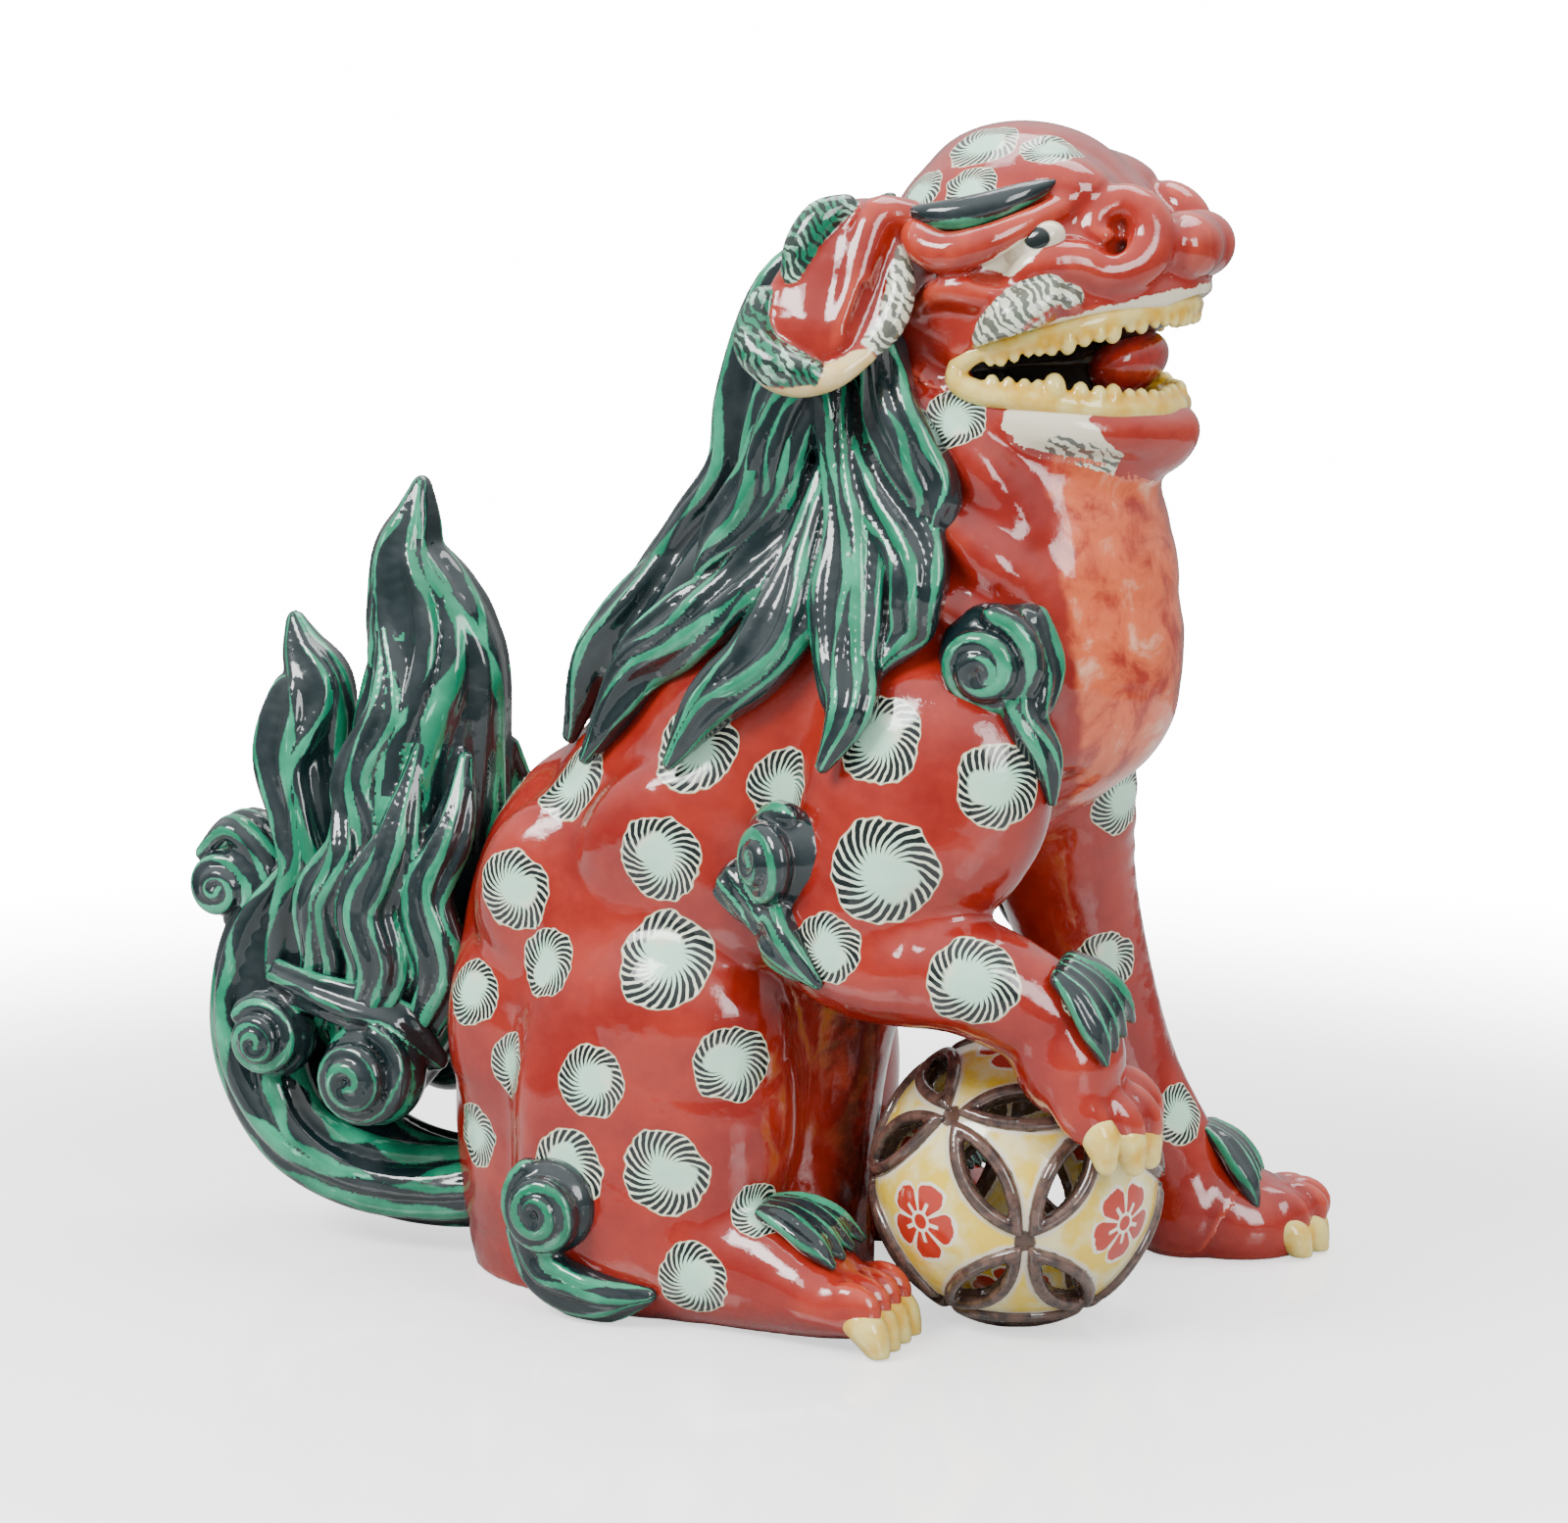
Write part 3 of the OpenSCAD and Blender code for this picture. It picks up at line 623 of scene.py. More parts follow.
def strands_on(path, sizes, ref, angles, ridge, rng, sway=0.2, steps=6):
    """Ridges that run along a limb's skin at the given angles from its across direction."""
    p, s = spline(path, steps), np.maximum(spline(sizes, steps), 0.4)
    ref = spline(np.broadcast_to(ref, (len(path), 3)), steps)
    t = np.gradient(p, axis=0)
    t /= np.linalg.norm(t, axis=1, keepdims=True)
    n = np.cross(ref, t)
    n /= np.linalg.norm(n, axis=1, keepdims=True) + 1e-6
    m = np.cross(t, n)
    u = np.linspace(0, 1, len(p))
    out = []
    for a in angles:
        bend = a + sway * np.sin(u * rng.uniform(5, 9) + rng.uniform(0, 6.3))
        r = np.minimum(ridge * s.max(1), 0.85 * s.min(1))
        w, h = s[:, 0] - 0.75 * r, s[:, 1] - 0.55 * r
        c = p + (np.cos(bend) * w)[:, None] * n + (np.sin(bend) * h)[:, None] * m
        away = np.cos(bend)[:, None] * n / s[:, :1] + np.sin(bend)[:, None] * m / s[:, 1:]
        out.append(Strand(c, r, away, rng.random()))
    return out


def lock(path, sizes, rng, count, ridge=0.33, skin=None, lift=0.0, ref=(0, -1, 0)):
    """A tapering lock of hair; with a skin given, it lies on it and faces away from it."""
    if skin is not None:
        path, ref = skin.settle(path, lift)
    angles = np.linspace(0.12, 0.88, count) * math.pi
    return limb(path, np.array(sizes) * 0.9, ref), strands_on(path, sizes, ref, angles, ridge, rng)


def snail(centre, axis, start, radius, turns, hand, rng, swell=0.55, rise=0.35):
    """A curl: a ridge that winds in to a raised middle. start points from the middle to its mouth."""
    centre, axis = np.asarray(centre, float), unit(axis)
    e1 = unit(np.asarray(start, float) - axis * np.dot(start, axis))
    e2 = np.cross(axis, e1) * hand
    k = np.linspace(0, 1, int(18 * turns))
    pitch = radius / (turns + 0.35)
    rad = radius * (1 - swell * pitch / radius) * (1 - k) + 0.12 * radius * k
    rad = rad * (1 - 0.12 * np.sin(math.pi * k))
    a = k * turns * 2 * math.pi
    ring = pitch * swell * (1.12 - 0.25 * k)
    up = radius * rise * np.sin(np.clip(k * 1.25, 0, 1) * math.pi / 2)
    p = centre + (np.cos(a) * rad)[:, None] * e1 + (np.sin(a) * rad)[:, None] * e2 + up[:, None] * axis
    away = axis + 0.6 * (np.cos(a)[:, None] * e1 + np.sin(a)[:, None] * e2) * (1 - k)[:, None]
    return Strand(p, ring, away, rng.random())


def paint_hair(piece, strands):
    """Gives each corner the nearest strand's own coordinates: angle round it, length along it, seed."""
    samples = [(s, i) for s in strands for i in range(len(s.p))]
    tree = KDTree(len(samples))
    for k, (s, i) in enumerate(samples):
        tree.insert(s.p[i], k)
    tree.balance()
    radius = [s.r[i] for s, i in samples]
    corners = piece.points[piece.quads]
    best = np.array([min(tree.find_n(c, 6), key=lambda hit: hit[2] - radius[hit[1]])[1]
                     for c in corners.mean(1)])
    p, t, out, start = (np.array([getattr(s, key)[i] for s, i in samples])[best][:, None]
                        for key in ("p", "t", "out", "along"))
    v = corners - p
    angle = np.arctan2((v * np.cross(t, out)).sum(2), (v * out).sum(2))
    along = start + (v * t).sum(2)
    seeds = np.array([s.seed for s, i in samples])[best][:, None] * np.ones((1, 4))
    piece.at_corners("hair", np.stack([angle, along, seeds], 2))


def form_hair(name, cores, strands, blend=1.0):
    """Meshes hair from its cores and ridges, and trims what is hidden inside the body."""
    bones = [b for s in strands for b in s.bones()]
    steps = [(core, 2.5) for core in cores] + [(bones, blend)]
    lo, hi = box_of(steps)
    block = Block(lo - MARGIN, hi + MARGIN, HAIR)
    d = above_ground(trimmed(block.field(steps), block), block)
    paint_hair(form(name, block, d, "green_glaze", rounds=5), strands)


def grow(locks, side, rng, fullness, **more):
    """The cores and ridges of several locks: [path, sizes, number of ridges, lift]."""
    cores, strands = [], []
    for path, sizes, count, lift in locks:
        core, ridges = lock(sided(path, side), sizes, rng, count, fullness / count, lift=lift, **more)
        cores.append(core)
        strands += ridges
    return cores, strands


SKIN = Skin()


def mane_core():
    out = []
    for y in (-15, 0, 15):
        a = abs(y)
        out += limb([[52, y, 258], [40, y, 242], [34, y, 220], [30, y, 203], [20, y, 186]],
                    [[9, 8], [14, 13], [15, 14], [13, 13], [5, 6]])
        out += limb([[33, y * 0.9, 206], [16, y * 1.1, 188 - a * 0.2], [2, y * 1.25, 172 - a * 0.2],
                     [-14, y * 1.3, 160 - a * 0.2]], [[10, 10], [11, 12], [9, 11], [5, 6]])
    return out


MANE_CORE = mane_core()
MANE_SKIN = Skin(extra=MANE_CORE)
SIDE_LOCKS = [                    # right side: points on the skin, widths and thicknesses, ridges, lift
    [[[56, -33, 238], [63, -40, 224], [69, -43, 213], [75, -43, 203], [76, -41, 193]],
     [[6, 5], [9, 6], [9.5, 6.5], [7.5, 6], [2.2, 2.5]], 4, 2],
    [[[48, -36, 218], [58, -42, 205], [68, -44, 194], [73, -46, 183], [70, -46, 172], [67, -47, 161]],
     [[6, 5], [8, 6], [9.5, 7], [8.5, 6.5], [6, 5], [1.5, 1.8]], 4, 3],
    [[[46, -34, 226], [48, -40, 210], [53, -46, 194], [55, -48, 180], [57, -51, 165], [61, -54, 153],
      [56, -56, 140]],
     [[7, 5], [9, 6], [10.5, 7], [11, 7], [9, 6.5], [6.5, 5.5], [1.6, 2]], 5, 4],
    [[[44, -34, 206], [40, -41, 190], [38, -46, 176], [31, -49, 164], [19, -50, 154], [11, -51, 139]],
     [[7, 5], [9, 6.5], [9.5, 7], [9, 6.5], [7, 6], [1.6, 2]], 4, 3],
    [[[36, -32, 196], [24, -38, 182], [8, -41, 170], [-6, -42, 161], [-16, -43, 152], [-22, -42, 141]],
     [[7, 5], [9.5, 6.5], [9.5, 7], [7.5, 6.5], [5.5, 5], [1.4, 1.8]], 4, 3],
    [[[34, -28, 222], [30, -34, 205], [20, -34, 191], [12, -33, 182]],
     [[7, 5], [9, 6], [8, 6], [2, 2.5]], 4, 2],
]
MIDDLE_SIZES = [[1.5, 1.5], [6, 4], [9, 5.5], [10, 7], [10, 7], [10, 7], [8, 6], [2, 2]]
OUTER_SIZES = [[1.5, 1.5], [6, 4], [8.5, 5.5], [9, 6], [8, 6], [2, 2]]
RUMP_SIZES = [[7, 5], [8, 6], [7, 5.5], [1.8, 2]]
BACK_LOCKS = [
    [[[51, -9, 266], [44, -12, 257], [35, -14, 244], [20, -13, 224], [14, -13, 206], [6, -12, 190],
      [-6, -14, 178], [-14, -17, 168]], MIDDLE_SIZES, 4, 2],
    [[[51, 9, 266], [44, 12, 257], [35, 14, 244], [20, 13, 224], [14, 13, 206], [6, 12, 190],
      [-6, 14, 178], [-14, 18, 166]], MIDDLE_SIZES, 4, 2],
    [[[52, 0, 268], [45, 0, 260], [34, 0, 248], [18, 0, 226], [12, 0, 206], [2, 1, 188], [-12, 2, 172],
      [-26, 1, 158], [-37, -2, 144]],
     [[1.5, 1.5], [5, 3.5], [7, 5], [9, 7], [9, 7], [10, 7], [10, 7], [8, 6], [2, 2]], 4, 3],
    *[[[[51, 20 * s, 262], [47, 25 * s, 253], [42, 30 * s, 238], [35, 32 * s, 222], [30, 32 * s, 206],
        [24, 30 * s, 190]], OUTER_SIZES, 4, 2] for s in SIDES],
    [[[0, -16, 180], [-12, -19, 168], [-24, -20, 156], [-33, -22, 142]], RUMP_SIZES, 4, 2],
    [[[0, 16, 180], [-12, 20, 168], [-22, 22, 157], [-30, 26, 143]], RUMP_SIZES, 4, 2],
]


def sided(points, side):
    """Points given for the right side, on the side wanted."""
    return np.asarray(points, float) * [1, -side, 1]


def form_mane(fullness=1.2):
    for side, word in SIDE_WORDS:
        cores, strands = grow(SIDE_LOCKS, side, np.random.default_rng(21 + side), fullness, skin=MANE_SKIN)
        form_hair("mane_" + word, cores, strands, 0.7)
    cores, strands = grow(BACK_LOCKS, RIGHT, np.random.default_rng(5), fullness, skin=MANE_SKIN)
    form_hair("mane_back", [MANE_CORE, *cores], strands, 0.7)


def flame(path, sizes, rng, count, ridge):
    """A free tongue of hair in the middle plane, with ridges all the way round."""
    path, ref = [[x, 0, z] for x, z in path], (0, -1, 0)
    angles = (np.arange(count) + 0.5) * 2 * math.pi / count
    return limb(path, np.array(sizes) * 0.93, ref), strands_on(path, sizes, ref, angles, ridge, rng, 0.3, 8)


# Paths as x and z in the middle plane, with half widths across and along it.
STEM = ([[-50, 20], [-70, 16.5], [-92, 19], [-111, 29], [-122.5, 46], [-124.5, 64], [-121, 82], [-112, 98]],
        [[10, 15], [11, 16], [12.5, 18], [13.5, 19], [13.5, 18], [13, 17], [11, 14], [7, 9]])
FLAME_FRONT = ([[-92, 44], [-87, 62], [-81, 84], [-78, 106], [-76, 130], [-73.5, 148], [-75, 158], [-78, 167],
                [-81.5, 179], [-79.5, 189], [-78, 197.5]],
               [[12, 14], [19, 19], [21, 22], [20, 21], [20, 18.5], [19, 15], [17.5, 13], [15, 11.5], [10, 9],
                [6, 6], [2.4, 2.6]])
FLAME_REAR = ([[-112, 66], [-108, 84], [-106, 98], [-109, 112], [-113, 126], [-110.5, 138], [-109, 146],
               [-112.5, 154], [-115, 161.5]],
              [[13, 14], [15, 17], [13.5, 15], [13, 13.5], [13, 12.5], [12, 10.5], [9, 8.5], [5.5, 5.5],
               [2.2, 2.2]])
FLAME_LOCKS = [                   # on the right of the front flame: path, sizes, ridges, lift
    [[[-104, -12, 62], [-96, -17, 76], [-97, -20, 92], [-90, -20, 106], [-94, -16, 122]],
     [[7, 5], [8.5, 6.5], [8, 6], [6, 5.5], [1.5, 2]], 4, 0],
    [[[-88, -18, 62], [-80, -22, 76], [-83, -23, 92], [-75, -22, 108], [-71, -17, 132]],
     [[7, 5], [8.5, 6.5], [8, 6.5], [6.5, 5.5], [1.5, 2]], 4, 0],
    [[[-72, -15, 62], [-64, -20, 78], [-67, -21, 96], [-61, -18, 112], [-60, -13, 130]],
     [[6, 5], [8, 6], [7.5, 6], [6, 5], [2, 2]], 4, 0],
    [[[-84, -17, 106], [-88, -16, 122], [-80, -14, 140], [-84, -10, 160]],
     [[7, 5], [8, 5], [7, 5], [2, 2]], 4, 0],
]


def form_tail():
    rng = np.random.default_rng(11)
    core, strands = flame(*STEM, rng, 11, 0.25)
    form_hair("tail_stem", [core], strands)
    core, strands = flame(*FLAME_FRONT, rng, 13, 0.22)
    cores = [core]
    for side in SIDES:
        more_cores, more_strands = grow(FLAME_LOCKS, side, rng, 1.32, ref=(0, side, 0))
        cores += more_cores
        strands += more_strands
    form_hair("tail_flame_front", cores, strands)
    core, strands = flame(*FLAME_REAR, rng, 11, 0.24)
    form_hair("tail_flame_rear", [core], strands)


def form_rear_curl(rng):
    cores = [[Egg([-134, 0, 92], [9, 9.5, 11])],
             limb([[-124, 0, 78], [-125, 0, 92], [-128, 0, 101]], [[6, 10], [8, 11], [6, 9]])]
    strands = [snail([-134, 6 * side, 91], [0, side, 0], [0.3, 0, -1], 11.5, 2.1, -side, rng)
               for side in SIDES]
    strands += strands_on([[-123, 0, 70], [-120, 0, 86], [-122, 0, 99], [-131, 0, 106], [-140, 0, 99]],
                          [[4, 8], [5, 9], [5, 9], [4, 9], [3, 7]], (0, -1, 0),
                          np.linspace(0, 2 * math.pi, 8, endpoint=False), 0.32, rng)
    form_hair("tail_curl_rear", cores, strands)


def form_base_curls(rng):
    """On each side two snails on round pads, with one lock over them."""
    snails = ((-112, 20, 56, 11.5, 2.5), (-83, 21, 49, 14.5, 1.2))      # middle, radius, angle of the mouth
    over = [[-112, -16, 70], [-101, -21, 69], [-90, -23, 67], [-76, -21, 63], [-68, -15, 52]]
    over_sizes = [[5, 4], [5.5, 5], [6, 5], [5.5, 5], [3, 3]]
    for side, word in SIDE_WORDS:
        cores, strands = [], []
        for x, y, z, r, a in snails:
            out, mouth = [0, side, 0], [math.cos(a), 0, math.sin(a)]
            cores.append([Egg([x, y * side, z], [r * 0.96, r * 0.72, r * 0.96])])
            middle, rim = ([x, (y + r * k) * side, z] for k in (0.42, 0.05))
            strands.append(snail(middle, out, mouth, r, 2.4, side, rng, rise=0.5))
            strands.append(snail(rim, out, mouth, r * 1.12, 0.95, side, rng, 0.42, 0.0))
        core, more = lock(sided(over, side), over_sizes, rng, 3, 0.4, ref=(0, side, 0))
        form_hair("tail_curls_" + word, [*cores, core], strands + more)


def form_tail_curls():
    rng = np.random.default_rng(17)
    form_rear_curl(rng)
    form_base_curls(rng)


CURLS = {                         # centre, radius, mouth direction, hand, tail from the curl's rim
    "chest_curl": ([90, -41, 167], 14.5, [0.2, 0, 1], 1,
                   [[[98, -41, 176], [101, -41, 164], [98, -43, 153], [104, -42, 144], [105, -40, 133]],
                    [[5, 4], [6.5, 4.5], [6, 4.5], [4.5, 4], [1, 1.2]]]),
    "elbow_curl": ([38, -58, 119], 14, [0.4, 0, 1], -1,
                   [[[29, -56, 112], [36, -57, 104], [46, -58, 98], [54, -61, 90]],
                    [[6, 4], [7.5, 5], [6.5, 4.5], [1.5, 1.5]]]),
    "heel_curl": ([-17, -56, 29], 13, [-0.6, 0, 1], -1,
                  [[[-25, -52, 22], [-21, -54, 10], [-6, -56, 6], [8, -57, 8]],
                   [[7, 4], [8.5, 5], [7.5, 5], [2, 2]]]),
}
LEFT_ELBOW = np.array([22, -4, -14])      # the straight left leg's curl sits further forward and lower


def form_curls():
    for stem, (centre, radius, mouth, hand, (path, sizes)) in CURLS.items():
        for side, word in SIDE_WORDS:
            rng = np.random.default_rng(31)
            shift = LEFT_ELBOW if stem == "elbow_curl" and side == LEFT else np.zeros(3)
            at, _ = SKIN.settle(sided([centre + shift], side), 0.5)
            c = at[0]
            n = unit(SKIN.normal(at)[0] * [0.6, 1, 0.5])
            pad = [Egg(c, [radius * 0.9, radius * 0.55, radius * 0.9])]
            curl = snail(c + n * radius * 0.2, n, mouth, radius, 2.3, hand * side, rng, rise=0.42)
            core, more = lock(sided(np.array(path) + shift, side), sizes, rng, 4, 0.34, SKIN, 1.0)
            form_hair(f"{stem}_{word}", [pad, core], [curl, *more])


TUFTS = {                         # middle, where its locks point
    "tuft_hind_right": ([44, -46, 27], [1, 0, -0.15]),
    "tuft_hind_left": ([44, 46, 27], [1, 0, -0.15]),
    "tuft_fore_right": ([111, -41, 86], [1, 0.1, -0.35]),
    "tuft_fore_left": ([116, 68, 24], [1, 0.2, -0.3]),
}


def form_tufts(r=4.5):
    """Four locks that fan out from a pad over each paw."""
    fan = ((-9, 4.5, 0), (-2, 5.5, 1.5), (6, 8.0, 1.0), (13, 9.5, -0.5))      # along, across, out
    sizes = [[2.6, 2.2], [4.2, 3.2], [3.8, 3.2], [1.0, 1.0]]
    for name, (centre, way) in TUFTS.items():
        rng = np.random.default_rng(47)
        base, normal = SKIN.settle([centre], 0.5)
        n, t = normal[0], unit(way)
        t = unit(t - n * np.dot(t, n))
        s = np.cross(n, t)
        cores, strands = [[Egg(base[0], [r, r, r * 0.7])]], []
        for k in (-1, -0.33, 0.33, 1):
            path = [base[0] + t * along + s * across * k + n * out for along, across, out in fan]
            core, more = lock(path, sizes, rng, 3, 0.4, ref=n)
            cores.append(core)
            strands += more
        form_hair(name, cores, strands, 0.6)


# ---------------------------------------------------------------- ears, brows, eyes, mouth, claws

def form_plain(name, steps, slot, size=FINE, trim=True):
    lo, hi = box_of(steps)
    block = Block(lo - MARGIN, hi + MARGIN, size)
    d = block.field(steps)
    if trim:
        d = trimmed(d, block)
    return form(name, block, above_ground(d, block), slot, least=60)


ZONES = {}                        # by piece: which shapes its other glazes cover
EAR = {                           # the left ear's leaf, ridge, web, hollow, and rolled rims by their paint
    "leaf": limb([[57, 36, 267], [53, 42, 261], [48, 46, 252], [46, 49, 243], [47, 50, 236]],
                 [[6, 4], [8.5, 4], [10, 4], [11.5, 4.5], [9, 4]], (0, 1, 0)),
    "ridge": rod([[66, 34, 267], [60, 39, 267], [58, 43, 259], [57, 47, 250], [55, 50, 241], [54, 51, 236]],
                 [4.5, 5, 4.6, 3.8, 3, 1.8]),
    "green": rod([[53, 41, 270], [48, 44, 267], [44, 46, 260], [43, 48, 254]], [2.8, 4.4, 4.4, 2.6])
             + rod([[36, 50, 249], [34.5, 52, 243], [36.5, 54.5, 237], [43, 56, 233.5], [50, 55.5, 232]],
                   [2.8, 4.2, 5.2, 5, 3.2]),
    "pale": rod([[65, 38, 259], [66.5, 41, 251], [65, 44, 243], [61, 48, 237]], [2.4, 3.6, 3.6, 2.4]),
    "yellow": rod([[34.5, 52, 238.5], [39, 55, 231.8], [47, 55.5, 229.6], [55, 53, 231.5], [61, 49, 236]],
                  [2.2, 3.0, 3.2, 3.0, 2.2]),
    "web": limb([[63, 37.5, 262], [62.5, 41, 252], [61, 44.5, 244], [57, 48.5, 237]],
                [[4.5, 2.2], [5.5, 2.4], [5.5, 2.4], [3.5, 2.2]], (0, 1, 0)),
    "hollow": rod([[61, 48, 251], [59.5, 52, 242]], [1.6, 2.0]),
}
BROW = limb([[65, 34.5, 268.4], [72, 37, 268], [79, 37.2, 268.4], [87, 35, 270.4], [94, 30.5, 273.2],
             [98.5, 26, 275.2]],
            [[1.2, 1.6], [2.8, 3], [3.7, 3.2], [3.5, 3.2], [2.6, 2.8], [1, 1.6]], (0.2, 1, 0.4))


def on_side(shapes, side):
    return shapes if side == LEFT else mirrored(shapes)


def form_ear(side, word):
    part = {key: on_side(shapes, side) for key, shapes in EAR.items()}
    blends = {"leaf": 0, "web": 2, "ridge": 2.5, "hollow": -1.5, "yellow": 1.5, "green": 1.2, "pale": 1.2}
    form_plain("ear_" + word, [(part[key], blend) for key, blend in blends.items()], "red_glaze")
    ZONES["ear_" + word] = {key: part[key] for key in ("green", "yellow", "pale")}


def form_brow(side, word):
    """One leaf, painted as one strand that is turned so that its green stroke runs below."""
    bones = on_side(BROW, side)
    brow = form_plain("brow_" + word, [(bones, 0)], "green_glaze")
    paint_hair(brow, [Strand([b.a for b in bones], [1.5] * len(bones), (0, side, 0.4), 0.31)])
    brow.data["hair"][1][:, 0] += 1.5 * side


def form_eyes():
    for side, word in SIDE_WORDS:
        ball = [Egg([94, 29.8 * side, 260], [10.5, 6.2, 5.4], [0, -30, 18 * side])]
        eye = form_plain("eye_" + word, [(ball, 0)], "cream_glaze")
        pupil = np.array([97.8, 33.5 * side, 263])
        eye.at_points("pupil", np.linalg.norm((eye.points - pupil) * [0.9, 0.25, 1.1], axis=1) - 2.7)


# The left halves of the gums, from the corner of the mouth to its middle.
UPPER_GUM = [[78.5, 34.6, 233], [83, 35.2, 236.2], [91.5, 34, 238.6], [101, 30.5, 241.2], [109, 25.5, 243.6],
             [116.5, 17.5, 245.4], [122.3, 8, 246.4], [123.4, 0, 246.6]]
LOWER_GUM = [[78.5, 34.6, 233], [78.6, 35, 229.6], [84, 34, 227], [93, 31.5, 226], [103, 27, 224.6],
             [111.5, 20.5, 223.2], [118, 10, 222.7], [119.6, 0, 222.6]]


def run_along(p):
    """The distance run along a curve at each of its points."""
    return np.concatenate([[0], np.cumsum(np.linalg.norm(np.diff(p, axis=0), axis=1))])


def gum(path, radii, tooth_r, up, first, rng):
    """A roll of gum with a row of bead teeth along it, a few of them larger as fangs."""
    fangs = ((26, 1.8), (40, 1.6))           # how far along the gum, and how near a tooth has to be
    rolls, beads = [], []
    for side in SIDES:
        half = np.array(path) * [1, side, 1]
        rolls.append((rod(half, radii), 1.5))
        p = spline(half, 24)
        run = run_along(p)
        at = first
        while at < run[-1] - 0.5:
            c = np.array([np.interp(at, run, column) for column in p.T])
            fang = 1.35 if any(abs(at - place) < near for place, near in fangs) else 1
            r = tooth_r * rng.uniform(0.75, 1.2) * fang
            out = rng.uniform(0.2, 0.9)
            beads.append(Egg(c + [out, out * side, up * (1.8 + r * 0.5)], [r, r, r * 1.35]))
            at += r * rng.uniform(1.9, 2.3)
    return rolls + [(beads, 0.8)]


def form_mouth():
    rng = np.random.default_rng(3)
    upper = gum(UPPER_GUM, [2.5, 2.3, 2.3, 2.3, 2.4, 2.4, 2.4, 2.4], 1.5, -1, 9, rng)
    lower = gum(LOWER_GUM, [2.5, 2.8, 3.0, 3.1, 3.2, 3.4, 3.4, 3.4], 1.75, 1, 12, rng)
    form_plain("upper_teeth", upper, "yellow_glaze", FINE * 0.8, trim=False)
    form_plain("lower_teeth", lower, "yellow_glaze", FINE * 0.8, trim=False)
    tongue = [(limb([[92, 0, 219], [98, 0, 222], [105, 0, 229]], [[9, 5], [9, 5], [9, 5]], (-0.6, 0, 1)), 0),
              ([Egg([108.6, 0, 232.6], [10, 14.5, 7.2], [0, -34, 0])], 1)]
    form_plain("tongue", tongue, "tongue_glaze", trim=False)
    nose = [([Egg([122.5, 0, 260.5], [9, 11.5, 7.6], [0, 8, 0])], 0),
            ([Egg([125.4, 6.2 * s, 260.8], [6.8, 7.2, 7]) for s in SIDES], 5)]
    form_plain("nose", nose, "red_glaze")


def claw(at, heading, length, drop, r):
    """A blunt claw that curves down from at."""
    way = np.array([math.cos(heading), math.sin(heading), 0])
    bends = ((-0.6, -0.1), (0, 0), (0.55, 0.25), (0.95, 0.75))          # shares of the length and the drop
    path = [np.array(at) + way * length * out + [0, 0, -drop * down] for out, down in bends]
    return rod(path, [r * 0.8, r, r * 1.02, r * 0.62])


def form_claws(r=4.3):
    toes = (-10, -3.4, 3.4, 10)
    sets = {f"claws_hind_{word}": [([62.5, 46 * side + k, 8.6], math.radians(k * 0.8)) for k in toes]
            for side, word in SIDE_WORDS}
    sets["claws_fore_left"] = [([131.5, 67, 8], 0.15), ([134, 73.5, 8.6], 0.3), ([132.5, 80, 8.6], 0.5),
                               ([127, 86, 8], 0.75)]
    sets["claws_fore_right"] = [([116.5, -44, 58], -0.1), ([121, -37.5, 56.5], 0.15),
                                ([122.5, -30, 56.5], 0.35), ([120.5, -22.5, 58], 0.55)]
    for name, claws in sets.items():
        length, drop = (3.4, 11.5) if name == "claws_fore_right" else (6.0, 9.5)
        form_plain(name, [(claw(at, heading, length, drop, r), 0.7) for at, heading in claws], "yellow_glaze")


# ---------------------------------------------------------------- the pierced ball

def directions(length_squared):
    """The cube's directions of one kind: 1 for its face middles, 2 for its edge middles."""
    every = (np.array(v, float) for v in itertools.product((-1, 0, 1), repeat=3))
    return [unit(v) for v in every if np.abs(v).sum() == length_squared]


BALL_TURN = np.array(Euler([math.radians(a) for a in (7.7, 8.6, -21.7)]).to_matrix())
FACES, KNOTS = directions(1), directions(2)      # the flowers' middles, and where the ovals meet
PETALS = [(unit(a + b), unit(b - a)) for a, b in itertools.combinations(KNOTS, 2)
          if abs(np.dot(a, b) - 0.5) < 1e-6]
HOLE = (12.2, 3.5)                # half length and half width of the pierced ovals
BEAD = (13.6, 4.7)                # and of the line that the raised beads follow
BEAD_R = 1.65
WALL = 3.5


def lens(u, v, half_length, half_width):
    """Distance outside a pointed oval in its own plane."""
    rho = (half_length ** 2 + half_width ** 2) / (2 * half_width)
    return np.hypot(u, np.abs(v) + rho - half_width) - rho


def petal_distance(p, half_length, half_width):
    """Distance from points on the ball to the nearest of its 24 pointed ovals."""
    out = np.full(len(p), REACH)
    n = p / np.linalg.norm(p, axis=1, keepdims=True) * BALL_R
    for middle, along in PETALS:
        across = np.cross(middle, along)
        near = n @ middle > 0.7 * BALL_R
        q = n[near]
        out[near] = np.minimum(out[near], lens(q @ along, q @ across, half_length, half_width))
    return out


